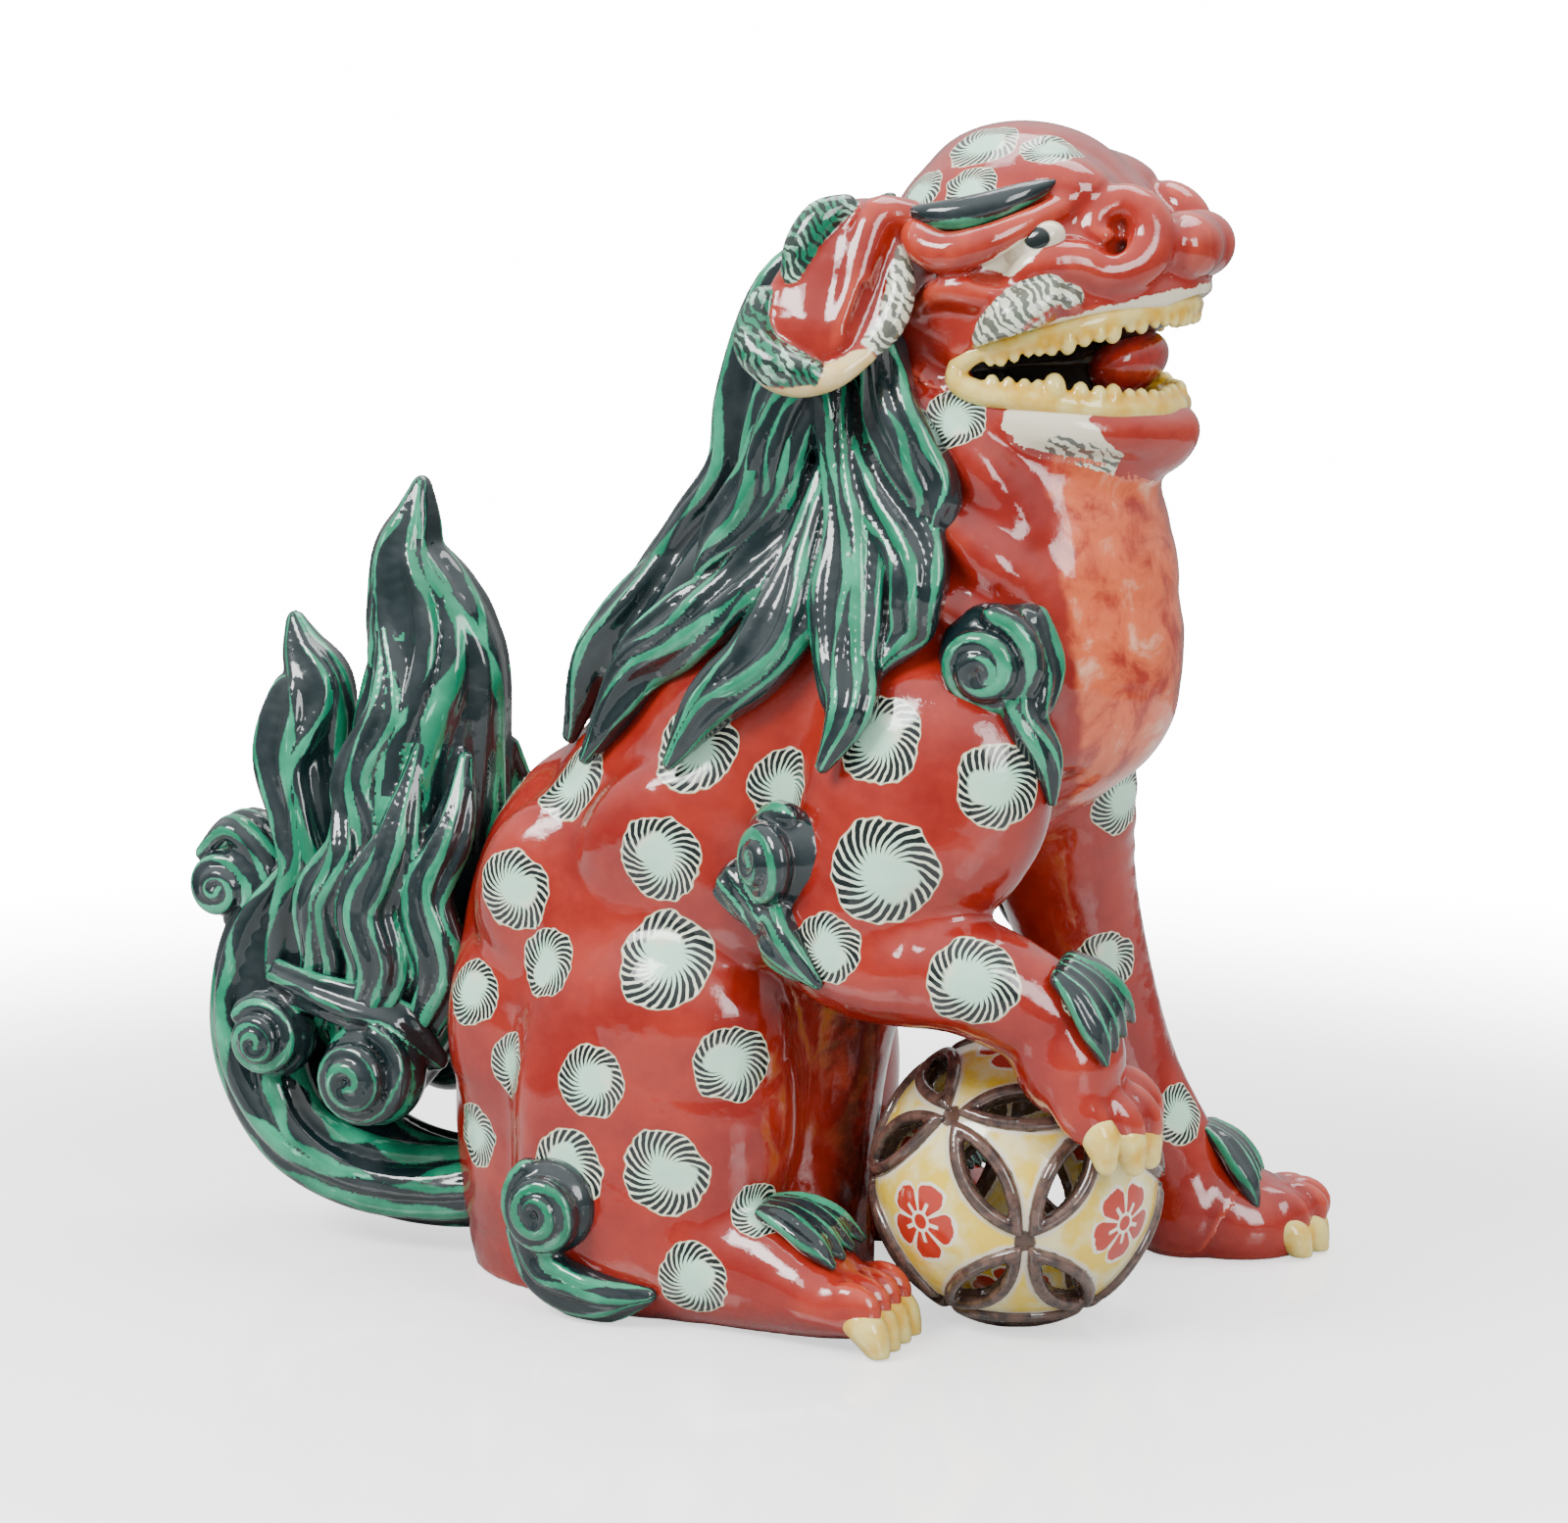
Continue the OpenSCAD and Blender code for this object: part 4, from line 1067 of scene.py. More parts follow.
def form_ball():
    block = Block(BALL_C - BALL_R - MARGIN, BALL_C + BALL_R + MARGIN, BALL_STEP)
    dx, dy, dz = (axis - middle for axis, middle in zip(block.axes(), BALL_C))
    radius = np.sqrt(dx * dx + dy * dy + dz * dz)
    from_wall = np.abs(radius - BALL_R + WALL / 2)
    near = from_wall < 6
    p = np.stack([(a + 0 * radius)[near] for a in (dx, dy, dz)], 1) @ BALL_TURN
    hole, rim = np.full(radius.shape, REACH), np.full(radius.shape, REACH)
    hole[near] = petal_distance(p, *HOLE)
    rim[near] = petal_distance(p, *BEAD)
    shell = np.maximum(from_wall - WALL / 2, -hole)
    for name, outside in (("ball_upper", -dz), ("ball_lower", dz)):
        paint_ball(form(name, block, tucked(shell, outside + 0 * radius), "yellow_glaze"))
    bead = np.hypot(rim, radius - BALL_R - 0.1) - BEAD_R
    paint_ball(form("ball_rims", block, above_ground(bead, block, 0.15), "brown_glaze"))


def paint_ball(piece):
    """Distances to the rims and the knots, and each square face's own coordinates."""
    p = (piece.points - BALL_C) @ BALL_TURN
    piece.at_points("rim", petal_distance(p, *BEAD))
    piece.at_points("node", np.min([np.linalg.norm(p - n * BALL_R, axis=1) for n in KNOTS], 0))
    corners = p[piece.quads]
    face = np.argmax([corners.mean(1) @ f for f in FACES], 0)
    uv = np.empty(corners.shape)
    for k, f in enumerate(FACES):
        e1 = np.roll(f, 1)
        a, b = corners[face == k] @ e1, corners[face == k] @ np.cross(f, e1)
        turn = 0.5 + 1.7 * k
        uv[face == k] = np.stack([a * math.cos(turn) + b * math.sin(turn),
                                  b * math.cos(turn) - a * math.sin(turn), k + 0 * a], 2)
    piece.at_corners("flower", uv)


# ---------------------------------------------------------------- paint on the red body

SPOTS_RIGHT = [                   # x, z and radius of the right side's spots
    [-21, 129, 12], [-51, 120, 11], [-34, 103, 11], [9, 115, 12], [40, 133, 12], [67, 148, 13], [95, 138, 12],
    [70, 118, 14], [11, 91, 13], [-23, 86, 10], [-6, 61, 11], [28, 67, 12], [-34, 59, 10], [-48, 75, 9],
    [-49, 38, 9], [13, 40, 12], [-13, 38, 12], [34, 30, 9], [20, 14, 11], [91, 93, 12], [56, 99, 9],
    [16, 141, 12], [-11, 158, 10],
]
SPOTS_LEFT = [
    [-26, 121, 12], [-44, 100, 11], [2, 125, 12], [34, 126, 12], [60, 138, 13], [92, 146, 11], [14, 98, 12],
    [-12, 80, 12], [16, 66, 12], [-30, 62, 11], [-8, 48, 11], [28, 42, 12], [-36, 34, 10], [6, 20, 11],
    [84, 112, 10], [50, 108, 10], [40, 150, 10], [-2, 154, 11],
]
SPOTS_FREE = [                    # centre and radius of the spots that neither side view places
    [[115, -40, 90], 10], [[93, 38, 80], 10], [[104, 57, 37], 9], [[97, 32, 123], 10], [[-58, 14, 112], 11],
    [[-62, -12, 84], 10], [[-66, 6, 60], 11], [[-64, -10, 34], 11], [[-60, 26, 88], 9], [[-62, 24, 40], 10],
    [[-40, 8, 140], 10], [[78, -17, 284], 9.5], [[63, -25, 273], 9], [[79, -30, 275], 8],
    [[95, -17, 281], 9], [[94, 18, 282], 9.5], [[66, 22, 279], 10], [[80, 22, 282], 8],
    [[79, -38, 221], 8.5], [[79, 38, 221], 8.5], [[50, -8, 272], 9],
]


class Spot:
    """One rosette's middle, outward normal, radius and seed, with two axes in its own plane."""

    def __init__(self, centre, normal, radius, seed):
        self.c, self.n, self.r, self.seed = centre, normal, radius, seed
        self.e1 = unit(np.cross(normal, [0.2, 0.1, 1]))
        self.e2 = np.cross(normal, self.e1)


def first_on_skin(x, y, z):
    """Where a line across the figure, from beyond y to its middle plane, first meets the body."""
    line = np.array([[x, k, z] for k in np.linspace(y * 1.4, 0, 90)], float)
    inside = np.flatnonzero(SKIN.depth(line) < 0)
    return line[inside[0]] if len(inside) else np.array([x, y * 0.5, z], float)


def lay_spots():
    """Every rosette, settled on the skin, with slightly uneven sizes."""
    sides = ((-60, SPOTS_RIGHT), (60, SPOTS_LEFT))
    found = [(first_on_skin(x, y, z), r) for y, spots in sides for x, z, r in spots]
    found += [(np.array(c, float), r) for c, r in SPOTS_FREE]
    p, n = SKIN.settle([c for c, r in found])
    return [Spot(c, m, r * (0.90 + 0.07 * math.sin(7.3 * k)), k * 0.618 % 1)
            for k, (c, m, (_, r)) in enumerate(zip(p, n, found))]


def paint_spots(piece, spots):
    """Each corner's place in the nearest spot: (0, 0) at its middle, length 1 at its edge."""
    corners = piece.points[piece.quads]
    c, n = corners.mean(1), piece.normals[piece.quads].mean(1)
    away = np.array([np.linalg.norm(c - s.c, axis=1) / s.r + np.where(n @ s.n < 0, 3, 0) for s in spots])
    best, least = away.argmin(0), away.min(0)
    uv = np.full(corners.shape, REACH)
    for k, s in enumerate(spots):
        mine = (best == k) & (least < 1.8)
        v = corners[mine] - s.c
        a, b = v @ s.e1, v @ s.e2
        scale = np.linalg.norm(v, axis=2) / (np.hypot(a, b) + 1e-6) / s.r
        uv[mine] = np.stack([a * scale, b * scale, s.seed + 0 * a], 2)
    piece.at_corners("spot", uv)


def hollow_of(piece, rounds=6):
    """How hollow the surface is at each point: above 0 in creases, below 0 on ridges."""
    edges = neighbours(piece.quads)
    p = piece.points
    a, b = (p[half] for half in edges)
    h = ((mean_round(p, edges) - p) * piece.normals).sum(1) / ((a - b) ** 2).sum(1).mean()
    for _ in range(rounds):
        h = 0.5 * h + 0.5 * mean_round(h[:, None], edges)[:, 0]
    return h


def zone_distance(points, shapes):
    return np.min([s(*points.T) for s in shapes], 0) if shapes else np.full(len(points), REACH)


def mouth_zones():
    """Inside the mouth: painted shade, nearly black, at the back, and yellowish near the front teeth."""
    # The first zone is painted shade over the back of the mouth and its middle wall.
    dark = limb([[74, 0, 232], [90, 0, 233], [103, 0, 234], [113, 0, 235]],
                [[8, 27], [14, 28], [15, 24], [14, 15]])
    front = limb([[108, 0, 235], [116, 0, 236], [122, 0, 236]], [[14, 21], [13, 13], [11, 8]])
    return dark, front


def head_zones():
    """The upper lip, the rims of the eye and the whisker lobes."""
    dark, yellow = mouth_zones()
    pale, cream = [], []
    for s in SIDES:
        pale += rod([[88, 37 * s, 240], [93, 37.5 * s, 245], [100, 35 * s, 250.5]], [4.6, 6.0, 4.4])
        pale += [Egg([103.5, 32 * s, 249.5], [4, 4, 3])]
        cream += rod([[84, 36 * s, 236.5], [92, 35 * s, 239], [101, 32 * s, 243], [108, 26 * s, 246],
                      [117, 18 * s, 247.8], [124, 9 * s, 249.2], [127, 0, 249.6]],
                     [1.2, 1.8, 2.6, 2.8, 2.6, 2.6, 2.6])
        cream += rod([[71, 38 * s, 265.5], [78, 38.5 * s, 264.4], [86, 37.5 * s, 265.4]], [0.6, 1.5, 0.6])
        cream += rod([[87, 38 * s, 257], [93, 36 * s, 258.5], [100, 31 * s, 264]], [2.0, 3.6, 2.4])
    return {"dark": dark, "yellow": yellow, "pale": pale, "cream": cream}


def jaw_zones():
    """The lower lip and the patches on each side of the chin."""
    dark, yellow = mouth_zones()
    pale, cream = [], []
    for s in SIDES:
        cream += rod([[89, 30 * s, 220], [96, 29 * s, 218.5], [104, 25 * s, 215], [109, 21 * s, 210]],
                     [4, 7.5, 7.5, 4.5])
        cream += rod([[78, 34 * s, 233], [79, 34 * s, 229], [86, 32.5 * s, 224], [98, 29.5 * s, 222],
                      [108, 24 * s, 220.5], [118, 10 * s, 219.5]], [2.2, 2.2, 1.6, 2.2, 2.6, 1.5])
        pale += rod([[100, 28 * s, 217], [105, 26 * s, 212.5], [111, 21 * s, 211]], [3.5, 4.5, 3.5])
        dark = dark + rod([[104, 26 * s, 219.5], [109, 23 * s, 217.6], [113, 19.5 * s, 218]], [0.7, 1.3, 0.7])
    return {"dark": dark, "yellow": yellow, "pale": pale, "cream": cream}


# The breast's wash, and the painted shade, mottled with orange-red, between the hind legs.
CHEST = limb([[103, 0, 204], [112, 0, 180], [116, 0, 158], [117, 0, 138], [112, 0, 120]],
             [[30, 26], [34, 26], [33, 26], [24, 22], [6, 10]], (1, 0, 0))
LEG_SHADE_ZONE = limb([[36, 0, 118], [44, 0, 96], [48, 0, 70], [48, 0, 30], [46, 0, 4]],
            [[30, 22], [34, 12], [36, 10], [36, 9], [36, 9]], (1, 0, 0))
WASHED = ("torso_right", "torso_left", "foreleg_left", "shoulder_right")


def paint_all():
    # The torso's wall at the back of the mouth gets the same painted shade.
    throat_shade = {"dark": mouth_zones()[0]}
    ZONES.update(head_shell=head_zones(), lower_jaw=jaw_zones(), torso_right=throat_shade, torso_left=throat_shade)
    spots = lay_spots()
    for piece in PIECES:
        piece.at_points("hollow", hollow_of(piece))
        if piece.slot == "red_glaze":
            paint_spots(piece, spots)
            shapes = dict(ZONES.get(piece.name, {}), deep=LEG_SHADE_ZONE, chest=CHEST if piece.name in WASHED else [])
            for zone in ("cream", "green", "yellow", "dark", "pale", "chest", "deep"):
                piece.at_points(zone, zone_distance(piece.points, shapes.get(zone, [])))


form_body()
form_mane()
form_tail()
form_tail_curls()
form_curls()
form_tufts()
for side, word in SIDE_WORDS:
    form_ear(side, word)
    form_brow(side, word)
form_eyes()
form_mouth()
form_claws()
form_ball()
paint_all()


# ---------------------------------------------------------------- glazes

class Value:
    """A number in a shader. Sums, products and powers of it become math nodes."""

    def __init__(self, nodes, socket):
        self.nodes, self.socket = nodes, socket

    def __add__(self, other):
        return self.nodes.math("ADD", self, other)

    def __sub__(self, other):
        return self.nodes.math("SUBTRACT", self, other)

    def __rsub__(self, other):
        return self.nodes.math("SUBTRACT", other, self)

    def __mul__(self, other):
        return self.nodes.math("MULTIPLY", self, other)

    def __truediv__(self, other):
        return self.nodes.math("DIVIDE", self, other)

    def __pow__(self, other):
        return self.nodes.math("POWER", self, other)

    def __abs__(self):
        return self.nodes.math("ABSOLUTE", self)

    def smooth(self, low, high, out_low=0.0, out_high=1.0):
        """Goes softly from out_low to out_high as this goes from low to high."""
        inputs = {"Value": self, "From Min": low, "From Max": high, "To Min": out_low, "To Max": out_high}
        return self.nodes.out("ShaderNodeMapRange", inputs, interpolation_type="SMOOTHSTEP")


class Nodes:
    """The node tree of a material or world, with short names for building it."""

    def __init__(self, owner, shader="Principled BSDF"):
        owner.use_nodes = True
        self.owner, self.tree, self.place = owner, owner.node_tree, None
        self.shader = self.tree.nodes[shader]

    def plug(self, socket, value):
        """Links a value to the socket, or sets a constant on it."""
        if isinstance(value, Value):
            self.tree.links.new(value.socket, socket)
        else:
            socket.default_value = value

    def feed(self, inputs, node=None):
        """Plugs inputs into a node, or into the shader itself."""
        for key, value in inputs.items():
            self.plug((node or self.shader).inputs[key], value)

    def put(self, kind, inputs, **settings):
        node = self.tree.nodes.new(kind)
        for key, value in settings.items():
            setattr(node, key, value)
        self.feed(inputs, node)
        return node

    def out(self, kind, inputs, output=0, **settings):
        return Value(self, self.put(kind, inputs, **settings).outputs[output])

    def math(self, operation, *terms):
        return self.out("ShaderNodeMath", dict(enumerate(terms)), operation=operation)

    def mix(self, fac, a, b, kind="RGBA"):
        """a where fac is 0, b where it is 1."""
        node = self.put("ShaderNodeMix", {}, data_type=kind)
        for key, value in (("Factor", fac), ("A", a), ("B", b)):
            socket = next(s for s in node.inputs if s.name == key and s.enabled)
            self.plug(socket, (*value, 1) if isinstance(value, tuple) else value)
        return Value(self, next(s for s in node.outputs if s.enabled))

    def number(self, name):
        """One number that was painted on the mesh."""
        return self.out("ShaderNodeAttribute", {}, "Fac", attribute_name=name)

    def triple(self, name):
        """Three numbers that were painted on the mesh, as a vector."""
        return self.out("ShaderNodeAttribute", {}, "Vector", attribute_name=name)

    def split(self, vector):
        return [Value(self, s) for s in self.put("ShaderNodeSeparateXYZ", {0: vector}).outputs]

    def join(self, x, y, z):
        return self.out("ShaderNodeCombineXYZ", {0: x, 1: y, 2: z})

    def moved(self, vector, by):
        return self.out("ShaderNodeVectorMath", {0: vector, 1: by}, operation="ADD")

    def length(self, x, y):
        return self.math("SQRT", x * x + y * y)

    def wave(self, turns):
        """A sawtooth: 0 in the middle of each whole turn, 0.5 at its ends."""
        return abs(self.math("FRACT", turns) - 0.5)

    def mm(self):
        """The place on the object in millimetres."""
        if self.place is None:
            here = self.out("ShaderNodeTexCoord", {}, "Object")
            self.place = self.out("ShaderNodeVectorMath", {0: here, "Scale": 1 / MM}, operation="SCALE")
        return self.place

    def noise(self, scale, detail=2, vector=None, rough=0.5, distortion=0.0):
        inputs = {"Vector": vector or self.mm(), "Scale": scale, "Detail": detail, "Roughness": rough,
                  "Distortion": distortion}
        return self.out("ShaderNodeTexNoise", inputs, "Fac")

    def wobble(self, value, scale, amount, detail=3):
        """value made uneven by up to half of amount either way."""
        return value + (self.noise(scale, detail) - 0.5) * amount

    def mottle(self, a, b, scale, detail, low, high, rough=0.5):
        """Soft patches of a and b."""
        return self.mix(self.noise(scale, detail, rough=rough).smooth(low, high), a, b)

    def patch(self, under, over, distance, scale, amount, start, full):
        """Paints over on under as a distance goes from start to full, with a brushed edge."""
        return self.mix(self.wobble(distance, scale, amount).smooth(start, full), under, over)

    def surface(self, colour, rough, height, strength, distance):
        bump = self.out("ShaderNodeBump", {"Height": height, "Strength": strength, "Distance": distance})
        self.feed({"Base Color": colour, "Roughness": rough, "Normal": bump})
        return self.owner

    def finish(self, colour, ripple=0.06, rough=0.07):
        """A thick glossy glaze: slow dips, fine ripples, specks, and painted shade that darkens the creases.
        """
        # Painted shade: the colour is darkened in the creases, which are also made less glossy.
        crease = (self.number("hollow") + self.noise(0.5, 3) * 0.06).smooth(0.10, 0.34)
        colour = self.mix(crease * 0.55, colour, CREASE_SHADE)
        speck = self.noise(1.6, 2, rough=0.6).smooth(0.76, 0.79)
        colour = self.mix(speck * 0.35, colour, SPECK)
        dull = self.noise(0.09, 4).smooth(0.45, 0.75, rough, rough + 0.13) + crease * 0.3
        height = self.noise(0.07, 2) * 3.0 + self.noise(0.5, 3) * 0.18
        self.feed({"IOR": 1.5, "Coat Weight": 0.5, "Coat Roughness": 0.03})
        return self.surface(colour, dull, height, ripple * 4, 1 * MM)


CREAM = (0.80, 0.74, 0.56)
IVORY = (0.80, 0.74, 0.60)
MINT = (0.50, 0.84, 0.64)
INK = (0.008, 0.014, 0.014)
EMERALD = (0.004, 0.17, 0.085)
YELLOW = (0.74, 0.42, 0.025)
# the dark brown of the painted shade in the creases
CREASE_SHADE = (0.07, 0.045, 0.03)
SPECK = (0.05, 0.03, 0.02)


def new_glaze(name):
    return Nodes(bpy.data.materials.new(name))


def rosette(n, colour, strokes=26):
    """A cream disc with a mint middle and curved black strokes round its rim."""
    place = n.triple("spot")
    u, v, seed = n.split(place)
    shift = seed * 40.0
    r = n.length(u, v)
    uneven = n.noise(1.6, 2, n.moved(place, n.join(shift, shift, 0.0))) - 0.5
    edge = r + uneven * 0.42
    fill = n.mix((r + uneven * 1.4).smooth(1.0, 0.35), (0.82, 0.82, 0.62), MINT)
    angle = n.math("ARCTAN2", v, u)
    jitter = (n.noise(3.0, 2, n.moved(place, n.join(0.0, shift, shift))) - 0.5) * 0.7
    turns = angle * (strokes / (2 * math.pi)) + r * 4.2 + jitter
    width = edge.smooth(0.26, 0.70, 0.02, 0.31)
    ink = (n.wave(turns) - width).smooth(0.035, -0.02) * edge.smooth(0.965, 0.92)
    side = n.math("SINE", angle + seed * 6.28).smooth(-0.95, -0.35, 0.45, 1.0)
    start = edge - (1.0 - side) * 0.5
    fill = n.mix(ink * start.smooth(0.32, 0.42), fill, INK)
    outlined = n.mix(edge.smooth(0.975, 0.945), (0.55, 0.48, 0.26), fill)
    return n.mix(edge.smooth(0.985, 0.955), colour, outlined)


def dashes(n, spacing):
    """Short parallel ink strokes across a rolled rim, by position."""
    x, _, z = n.split(n.mm())
    run = n.wobble(x * 0.75 + z * 0.65, 0.16, 7.0)
    thick = n.math("MINIMUM", n.noise(0.24, 3, rough=0.6) * 1.2 - 0.36, 0.30)
    return (n.wave(run / spacing) - thick).smooth(0.04, -0.04)


def red_body(n):
    """Iron red, paler where it thins on the ridges, darker between the legs with painted shade mottled with
    orange-red, washed on the breast.
    """
    colour = n.mottle((0.25, 0.012, 0.008), (0.36, 0.024, 0.013), 0.045, 5, 0.35, 0.68, 0.6)
    thin = (n.noise(0.12, 4) * 0.10 - n.number("hollow")).smooth(0.075, 0.16)
    colour = n.mix(thin * 0.55, colour, (0.58, 0.075, 0.035))
    # Painted shade between the hind legs: a darker red mottled with orange-red.
    leg_shade = n.mottle((0.13, 0.012, 0.010), (0.42, 0.05, 0.028), 0.10, 5, 0.38, 0.66, 0.65)
    colour = n.patch(colour, leg_shade, n.number("deep"), 0.08, 9.0, 1.5, -2.5)
    blot = n.noise(0.085, 6, rough=0.62, distortion=0.6)
    wash = n.mix(blot.smooth(0.34, 0.56), (0.36, 0.028, 0.015), (0.72, 0.135, 0.048))
    wash = n.mix(blot.smooth(0.56, 0.74), wash, (0.86, 0.43, 0.27))
    return n.patch(colour, wash, n.number("chest"), 0.10, 8.0, 1.2, -1.6)


def red_glaze():
    """The body's red with the head's and ears' painted patches, painted shade inside the mouth, and the
    rosettes on it.
    """
    n = new_glaze("red_glaze")
    colour = red_body(n)
    yellows = n.mix(n.noise(0.2, 3), YELLOW, (0.86, 0.78, 0.50))
    colour = n.patch(colour, yellows, n.number("yellow"), 0.4, 1.2, 0.5, 0.1)
    colour = n.patch(colour, CREAM, n.number("cream"), 0.4, 1.6, 0.3, 0.05)
    pales = n.mix(n.noise(0.15, 3), CREAM, (0.62, 0.78, 0.62))
    pales = n.mix(dashes(n, 2.2) * 0.85, pales, INK)
    colour = n.patch(colour, pales, n.number("pale"), 0.4, 1.2, 0.5, 0.2)
    greens = n.mottle(EMERALD, (0.40, 0.70, 0.52), 0.14, 3, 0.44, 0.64)
    greens = n.mix(dashes(n, 2.0) * 0.95, greens, INK)
    colour = n.patch(colour, greens, n.number("green"), 0.4, 1.2, 0.6, 0.3)
    # The dark zone: painted shade inside the mouth and throat, and a short dark line on each side of the
    # chin.
    colour = n.patch(colour, (0.012, 0.010, 0.008), n.number("dark"), 0.4, 0.8, 0.3, 0.0)
    return n.finish(rosette(n, colour), 0.10, 0.08)


def green_glaze():
    """Near-black glaze with emerald strokes along each lock of hair."""
    n = new_glaze("green_glaze")
    angle, along, seed = n.split(n.triple("hair"))
    shift = seed * 90.0
    run = n.join(along * 0.045, shift, 0.0)
    sway = (n.noise(1.0, 1, run) - 0.5) * 3.4
    wide = n.noise(1.0, 2, n.moved(run, (0.0, 0.0, 31.0))) * 2.4 - 0.82
    stroke = n.wobble(abs(angle - sway) - wide, 0.8, 0.25)
    streak = n.noise(3.0, 2, n.join(angle * 0.6 + shift, along * 0.03, 7.0), rough=0.6)
    green = n.mottle(EMERALD, (0.035, 0.36, 0.20), 0.07, 4, 0.35, 0.7)
    green = n.mix(streak.smooth(0.60, 0.72), green, (0.16, 0.52, 0.35))
    dark = n.mottle((0.006, 0.016, 0.018), (0.020, 0.030, 0.034), 0.09, 3, 0.4, 0.7)
    return n.finish(n.mix(stroke.smooth(0.09, -0.09), dark, green), 0.05, 0.06)


def yellow_glaze():
    """Yellow that pools in the hollows and thins to cream on the high places."""
    n = new_glaze("yellow_glaze")
    hollow = n.number("hollow")
    colour = n.mix(n.wobble(hollow, 0.16, 0.7, 4).smooth(-0.22, 0.08), (0.84, 0.70, 0.22), YELLOW)
    colour = n.mix(hollow.smooth(0.10, 0.30), colour, (0.42, 0.24, 0.07))
    return n.finish(colour)


def flower(n, colour, petals=5, reach=9.6):
    """A red flower with a pale line along each petal and a cream halo."""
    u, v, _ = n.split(n.triple("flower"))
    r = n.length(u, v)
    a = n.wave(n.math("ARCTAN2", v, u) * (petals / (2 * math.pi))) * 2.0
    past = r + (n.noise(0.28, 2) - 0.5) * 2.6 - (1.0 - a ** 4.0 * 0.42) * reach
    petal = past.smooth(0.15, -0.15) * a.smooth(0.88, 0.82) * r.smooth(2.6, 2.9)
    line = (a * r).smooth(0.95, 0.65) * r.smooth(5.6, 5.0)
    red = n.math("MAXIMUM", petal * (1.0 - line), r.smooth(2.0, 1.8))
    colour = n.mix(past.smooth(1.2, 0.8), colour, (0.88, 0.84, 0.68))
    return n.mix(red, colour, (0.48, 0.035, 0.018))


def ball_glaze():
    """Pooled yellow with a flower on each square face, and brown that has run from the rims."""
    n = new_glaze("ball_glaze")
    colour = n.mottle((0.88, 0.81, 0.42), (0.85, 0.60, 0.05), 0.085, 4, 0.34, 0.60, 0.6)
    colour = flower(n, colour)
    rim = n.number("rim")
    brown = n.mix(n.noise(0.35, 4), (0.030, 0.016, 0.012), (0.15, 0.085, 0.06))
    colour = n.patch(colour, IVORY, rim, 0.25, 1.4, 3.1, 1.9)
    colour = n.patch(colour, brown, rim, 0.35, 1.2, 1.75, 1.45)
    colour = n.patch(colour, brown, n.number("node"), 0.20, 2.6, 3.0, 2.4)
    colour = n.patch(colour, (0.50, 0.44, 0.33), rim, 0.3, 0.8, -1.2, -1.6)
    return n.finish(colour)


def brown_glaze():
    n = new_glaze("brown_glaze")
    colour = n.mottle((0.022, 0.012, 0.012), (0.115, 0.060, 0.045), 0.30, 5, 0.38, 0.62, 0.62)
    ridge = n.number("hollow").smooth(-0.05, -0.22)
    return n.finish(n.mix(ridge * 0.25, colour, (0.22, 0.15, 0.12)), 0.04, 0.06)


def cream_glaze():
    """The whites of the eyes, with black pupils."""
    n = new_glaze("cream_glaze")
    colour = n.mottle(IVORY, (0.66, 0.58, 0.42), 0.3, 4, 0.4, 0.7)
    return n.finish(n.mix(n.number("pupil").smooth(0.35, -0.1), colour, INK), 0.04, 0.06)


def tongue_glaze():
    n = new_glaze("tongue_glaze")
    return n.finish(n.mottle((0.36, 0.022, 0.015), (0.24, 0.02, 0.015), 0.35, 4, 0.4, 0.7))


def bare_clay():
    """The unglazed foot: a pale sandy body with grit."""
    n = new_glaze("bare_clay")
    colour = n.mix(n.noise(0.12, 5), (0.62, 0.56, 0.46), (0.46, 0.38, 0.28))
    colour = n.mix(n.noise(2.2, 2).smooth(0.62, 0.70) * 0.6, colour, (0.18, 0.12, 0.08))
    rough = n.noise(0.6, 3).smooth(0.3, 0.8, 0.62, 0.85)
    return n.surface(colour, rough, n.noise(2.5, 4), 0.35, 0.4 * MM)


# ---------------------------------------------------------------- meshes, camera, light

def link(name, data):
    """A new object in the scene."""
    obj = bpy.data.objects.new(name, data)
    bpy.context.scene.collection.objects.link(obj)
    return obj


def to_mesh(piece):
    """The piece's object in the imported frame, with what its glaze reads."""
    points, quads = (piece.points + TO_FRAME) * MM, piece.quads
    mesh = bpy.data.meshes.new(piece.name)
    mesh.vertices.add(len(points))
    mesh.vertices.foreach_set("co", points.astype(np.float32).ravel())
    mesh.loops.add(quads.size)
    mesh.loops.foreach_set("vertex_index", quads.astype(np.int32).ravel())
    mesh.polygons.add(len(quads))
    mesh.polygons.foreach_set("loop_start", np.arange(0, quads.size, 4, dtype=np.int32))
    mesh.update(calc_edges=True)
    mesh.polygons.foreach_set("use_smooth", np.ones(len(quads), bool))
    for key, (domain, values) in piece.data.items():
        kind, field = ("FLOAT", "value") if values.ndim == 1 else ("FLOAT_VECTOR", "vector")
        mesh.attributes.new(key, kind, domain).data.foreach_set(field, values.astype(np.float32).ravel())
    obj = link(piece.name + "_glazed", mesh)
    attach(obj, "root")
    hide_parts(piece.name)
    return obj


def fire():
    """Gives every piece its glaze, and the base slab, which stays as packed, its bare clay."""
    glazes = {"red_glaze": red_glaze(), "green_glaze": green_glaze(), "yellow_glaze": yellow_glaze(),
              "brown_glaze": brown_glaze(), "cream_glaze": cream_glaze(), "tongue_glaze": tongue_glaze()}
    halves = dict.fromkeys(("ball_upper", "ball_lower"), ball_glaze())
    for piece in PIECES:
        to_mesh(piece).data.materials.append(halves.get(piece.name, glazes[piece.slot]))
    slab = bare_clay()
    for obj in bpy.data.objects:
        if obj.type == "MESH" and obj.name.startswith("base_slab"):
            obj.data.materials.clear()
            obj.data.materials.append(slab)


def look_from(obj, place, target):
    """Puts obj at place with its -z axis towards target."""
    obj.location = place
    obj.rotation_euler = (Vector(target) - Vector(place)).to_track_quat("-Z", "Y").to_euler()


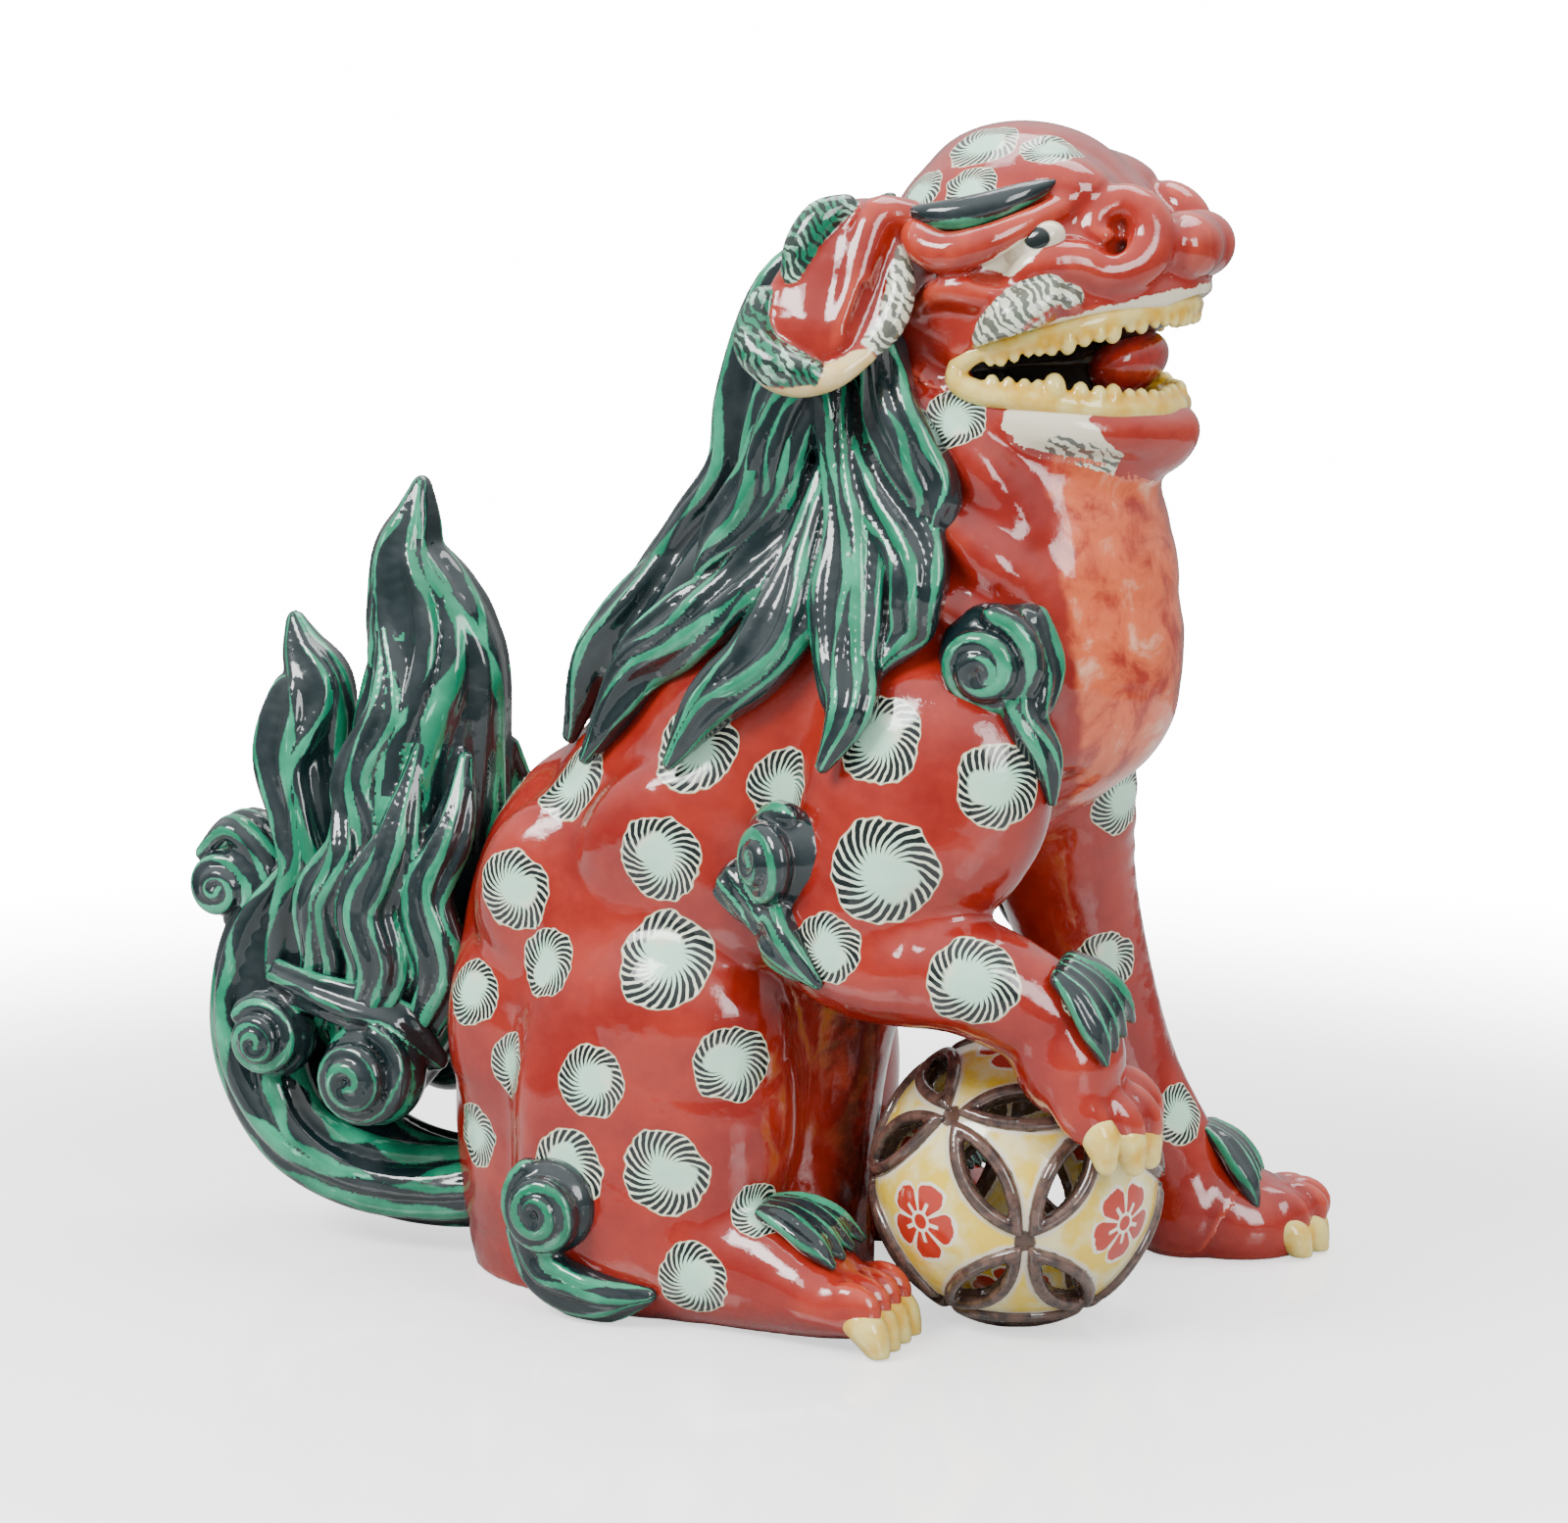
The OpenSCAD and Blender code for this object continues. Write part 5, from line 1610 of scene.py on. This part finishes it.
def set_camera():
    azimuth, elevation, distance = math.radians(22), math.radians(9), 1.0778
    target = Vector((np.array([21, 0, 132]) + TO_FRAME) * MM)
    way = Vector((math.sin(azimuth) * math.cos(elevation), -math.cos(azimuth) * math.cos(elevation),
                  math.sin(elevation)))
    camera = bpy.data.cameras.new("camera")
    camera.lens, camera.sensor_width = 100, 36
    obj = link("camera", camera)
    look_from(obj, target + way * distance, target)
    bpy.context.scene.camera = obj


def area_light(name, place, size, power):
    """A rectangular lamp that points at the middle of the figure."""
    light = bpy.data.lights.new(name, "AREA")
    light.shape, light.size, light.size_y, light.energy = "RECTANGLE", size[0], size[1], power
    look_from(link(name, light), place, (0, 0, 0.13))


def seen(n):
    """1 for what the camera sees directly, 0 for the light that falls on the object."""
    return n.out("ShaderNodeLightPath", {}, "Is Camera Ray")


def set_world(backdrop=16.0):
    """A white backdrop; what lights the object is bright overhead and dimmer round the horizon."""
    n = Nodes(bpy.data.worlds.new("studio"), "Background")
    height = n.split(n.out("ShaderNodeTexCoord", {}, "Generated"))[2]
    sky = height.smooth(-0.1, 0.9, 0.30, 1.5)
    n.feed({"Color": (1, 1, 1, 1), "Strength": n.mix(seen(n), sky, backdrop, "FLOAT")})
    bpy.context.scene.world = n.owner


def floor_material():
    """Pale and slightly glossy; it glows towards its edge, where it meets the white backdrop."""
    n = new_glaze("floor")
    x, y, _ = n.split(n.mm())
    away = n.length(x, y)
    glow = (away.smooth(150, 640) ** 2.0 * 15.0 + 1.1) * seen(n)
    n.feed({"Base Color": n.mix(seen(n), (0.40, 0.40, 0.40), (0.94, 0.94, 0.94)),
            "Roughness": away.smooth(250, 500, 0.10, 0.5),
            "Emission Color": (1, 1, 1, 1), "Emission Strength": glow})
    return n.owner


def set_stage(radius=0.66, sides=96):
    mesh = bpy.data.meshes.new("floor")
    turns = np.linspace(0, 2 * math.pi, sides, endpoint=False)
    rim = [(radius * math.cos(a), radius * math.sin(a), 0) for a in turns]
    mesh.from_pydata(rim, [], [tuple(range(sides))])
    mesh.materials.append(floor_material())
    link("floor", mesh)
    set_world()
    area_light("key", (-0.6, -1.0, 1.1), (0.7, 0.5), 28)
    area_light("fill", (1.2, -0.9, 0.7), (0.5, 0.8), 13)
    area_light("top", (0.1, 0.3, 1.3), (0.9, 0.6), 12)


fire()
set_camera()
set_stage()

bpy.context.view_layer.update()
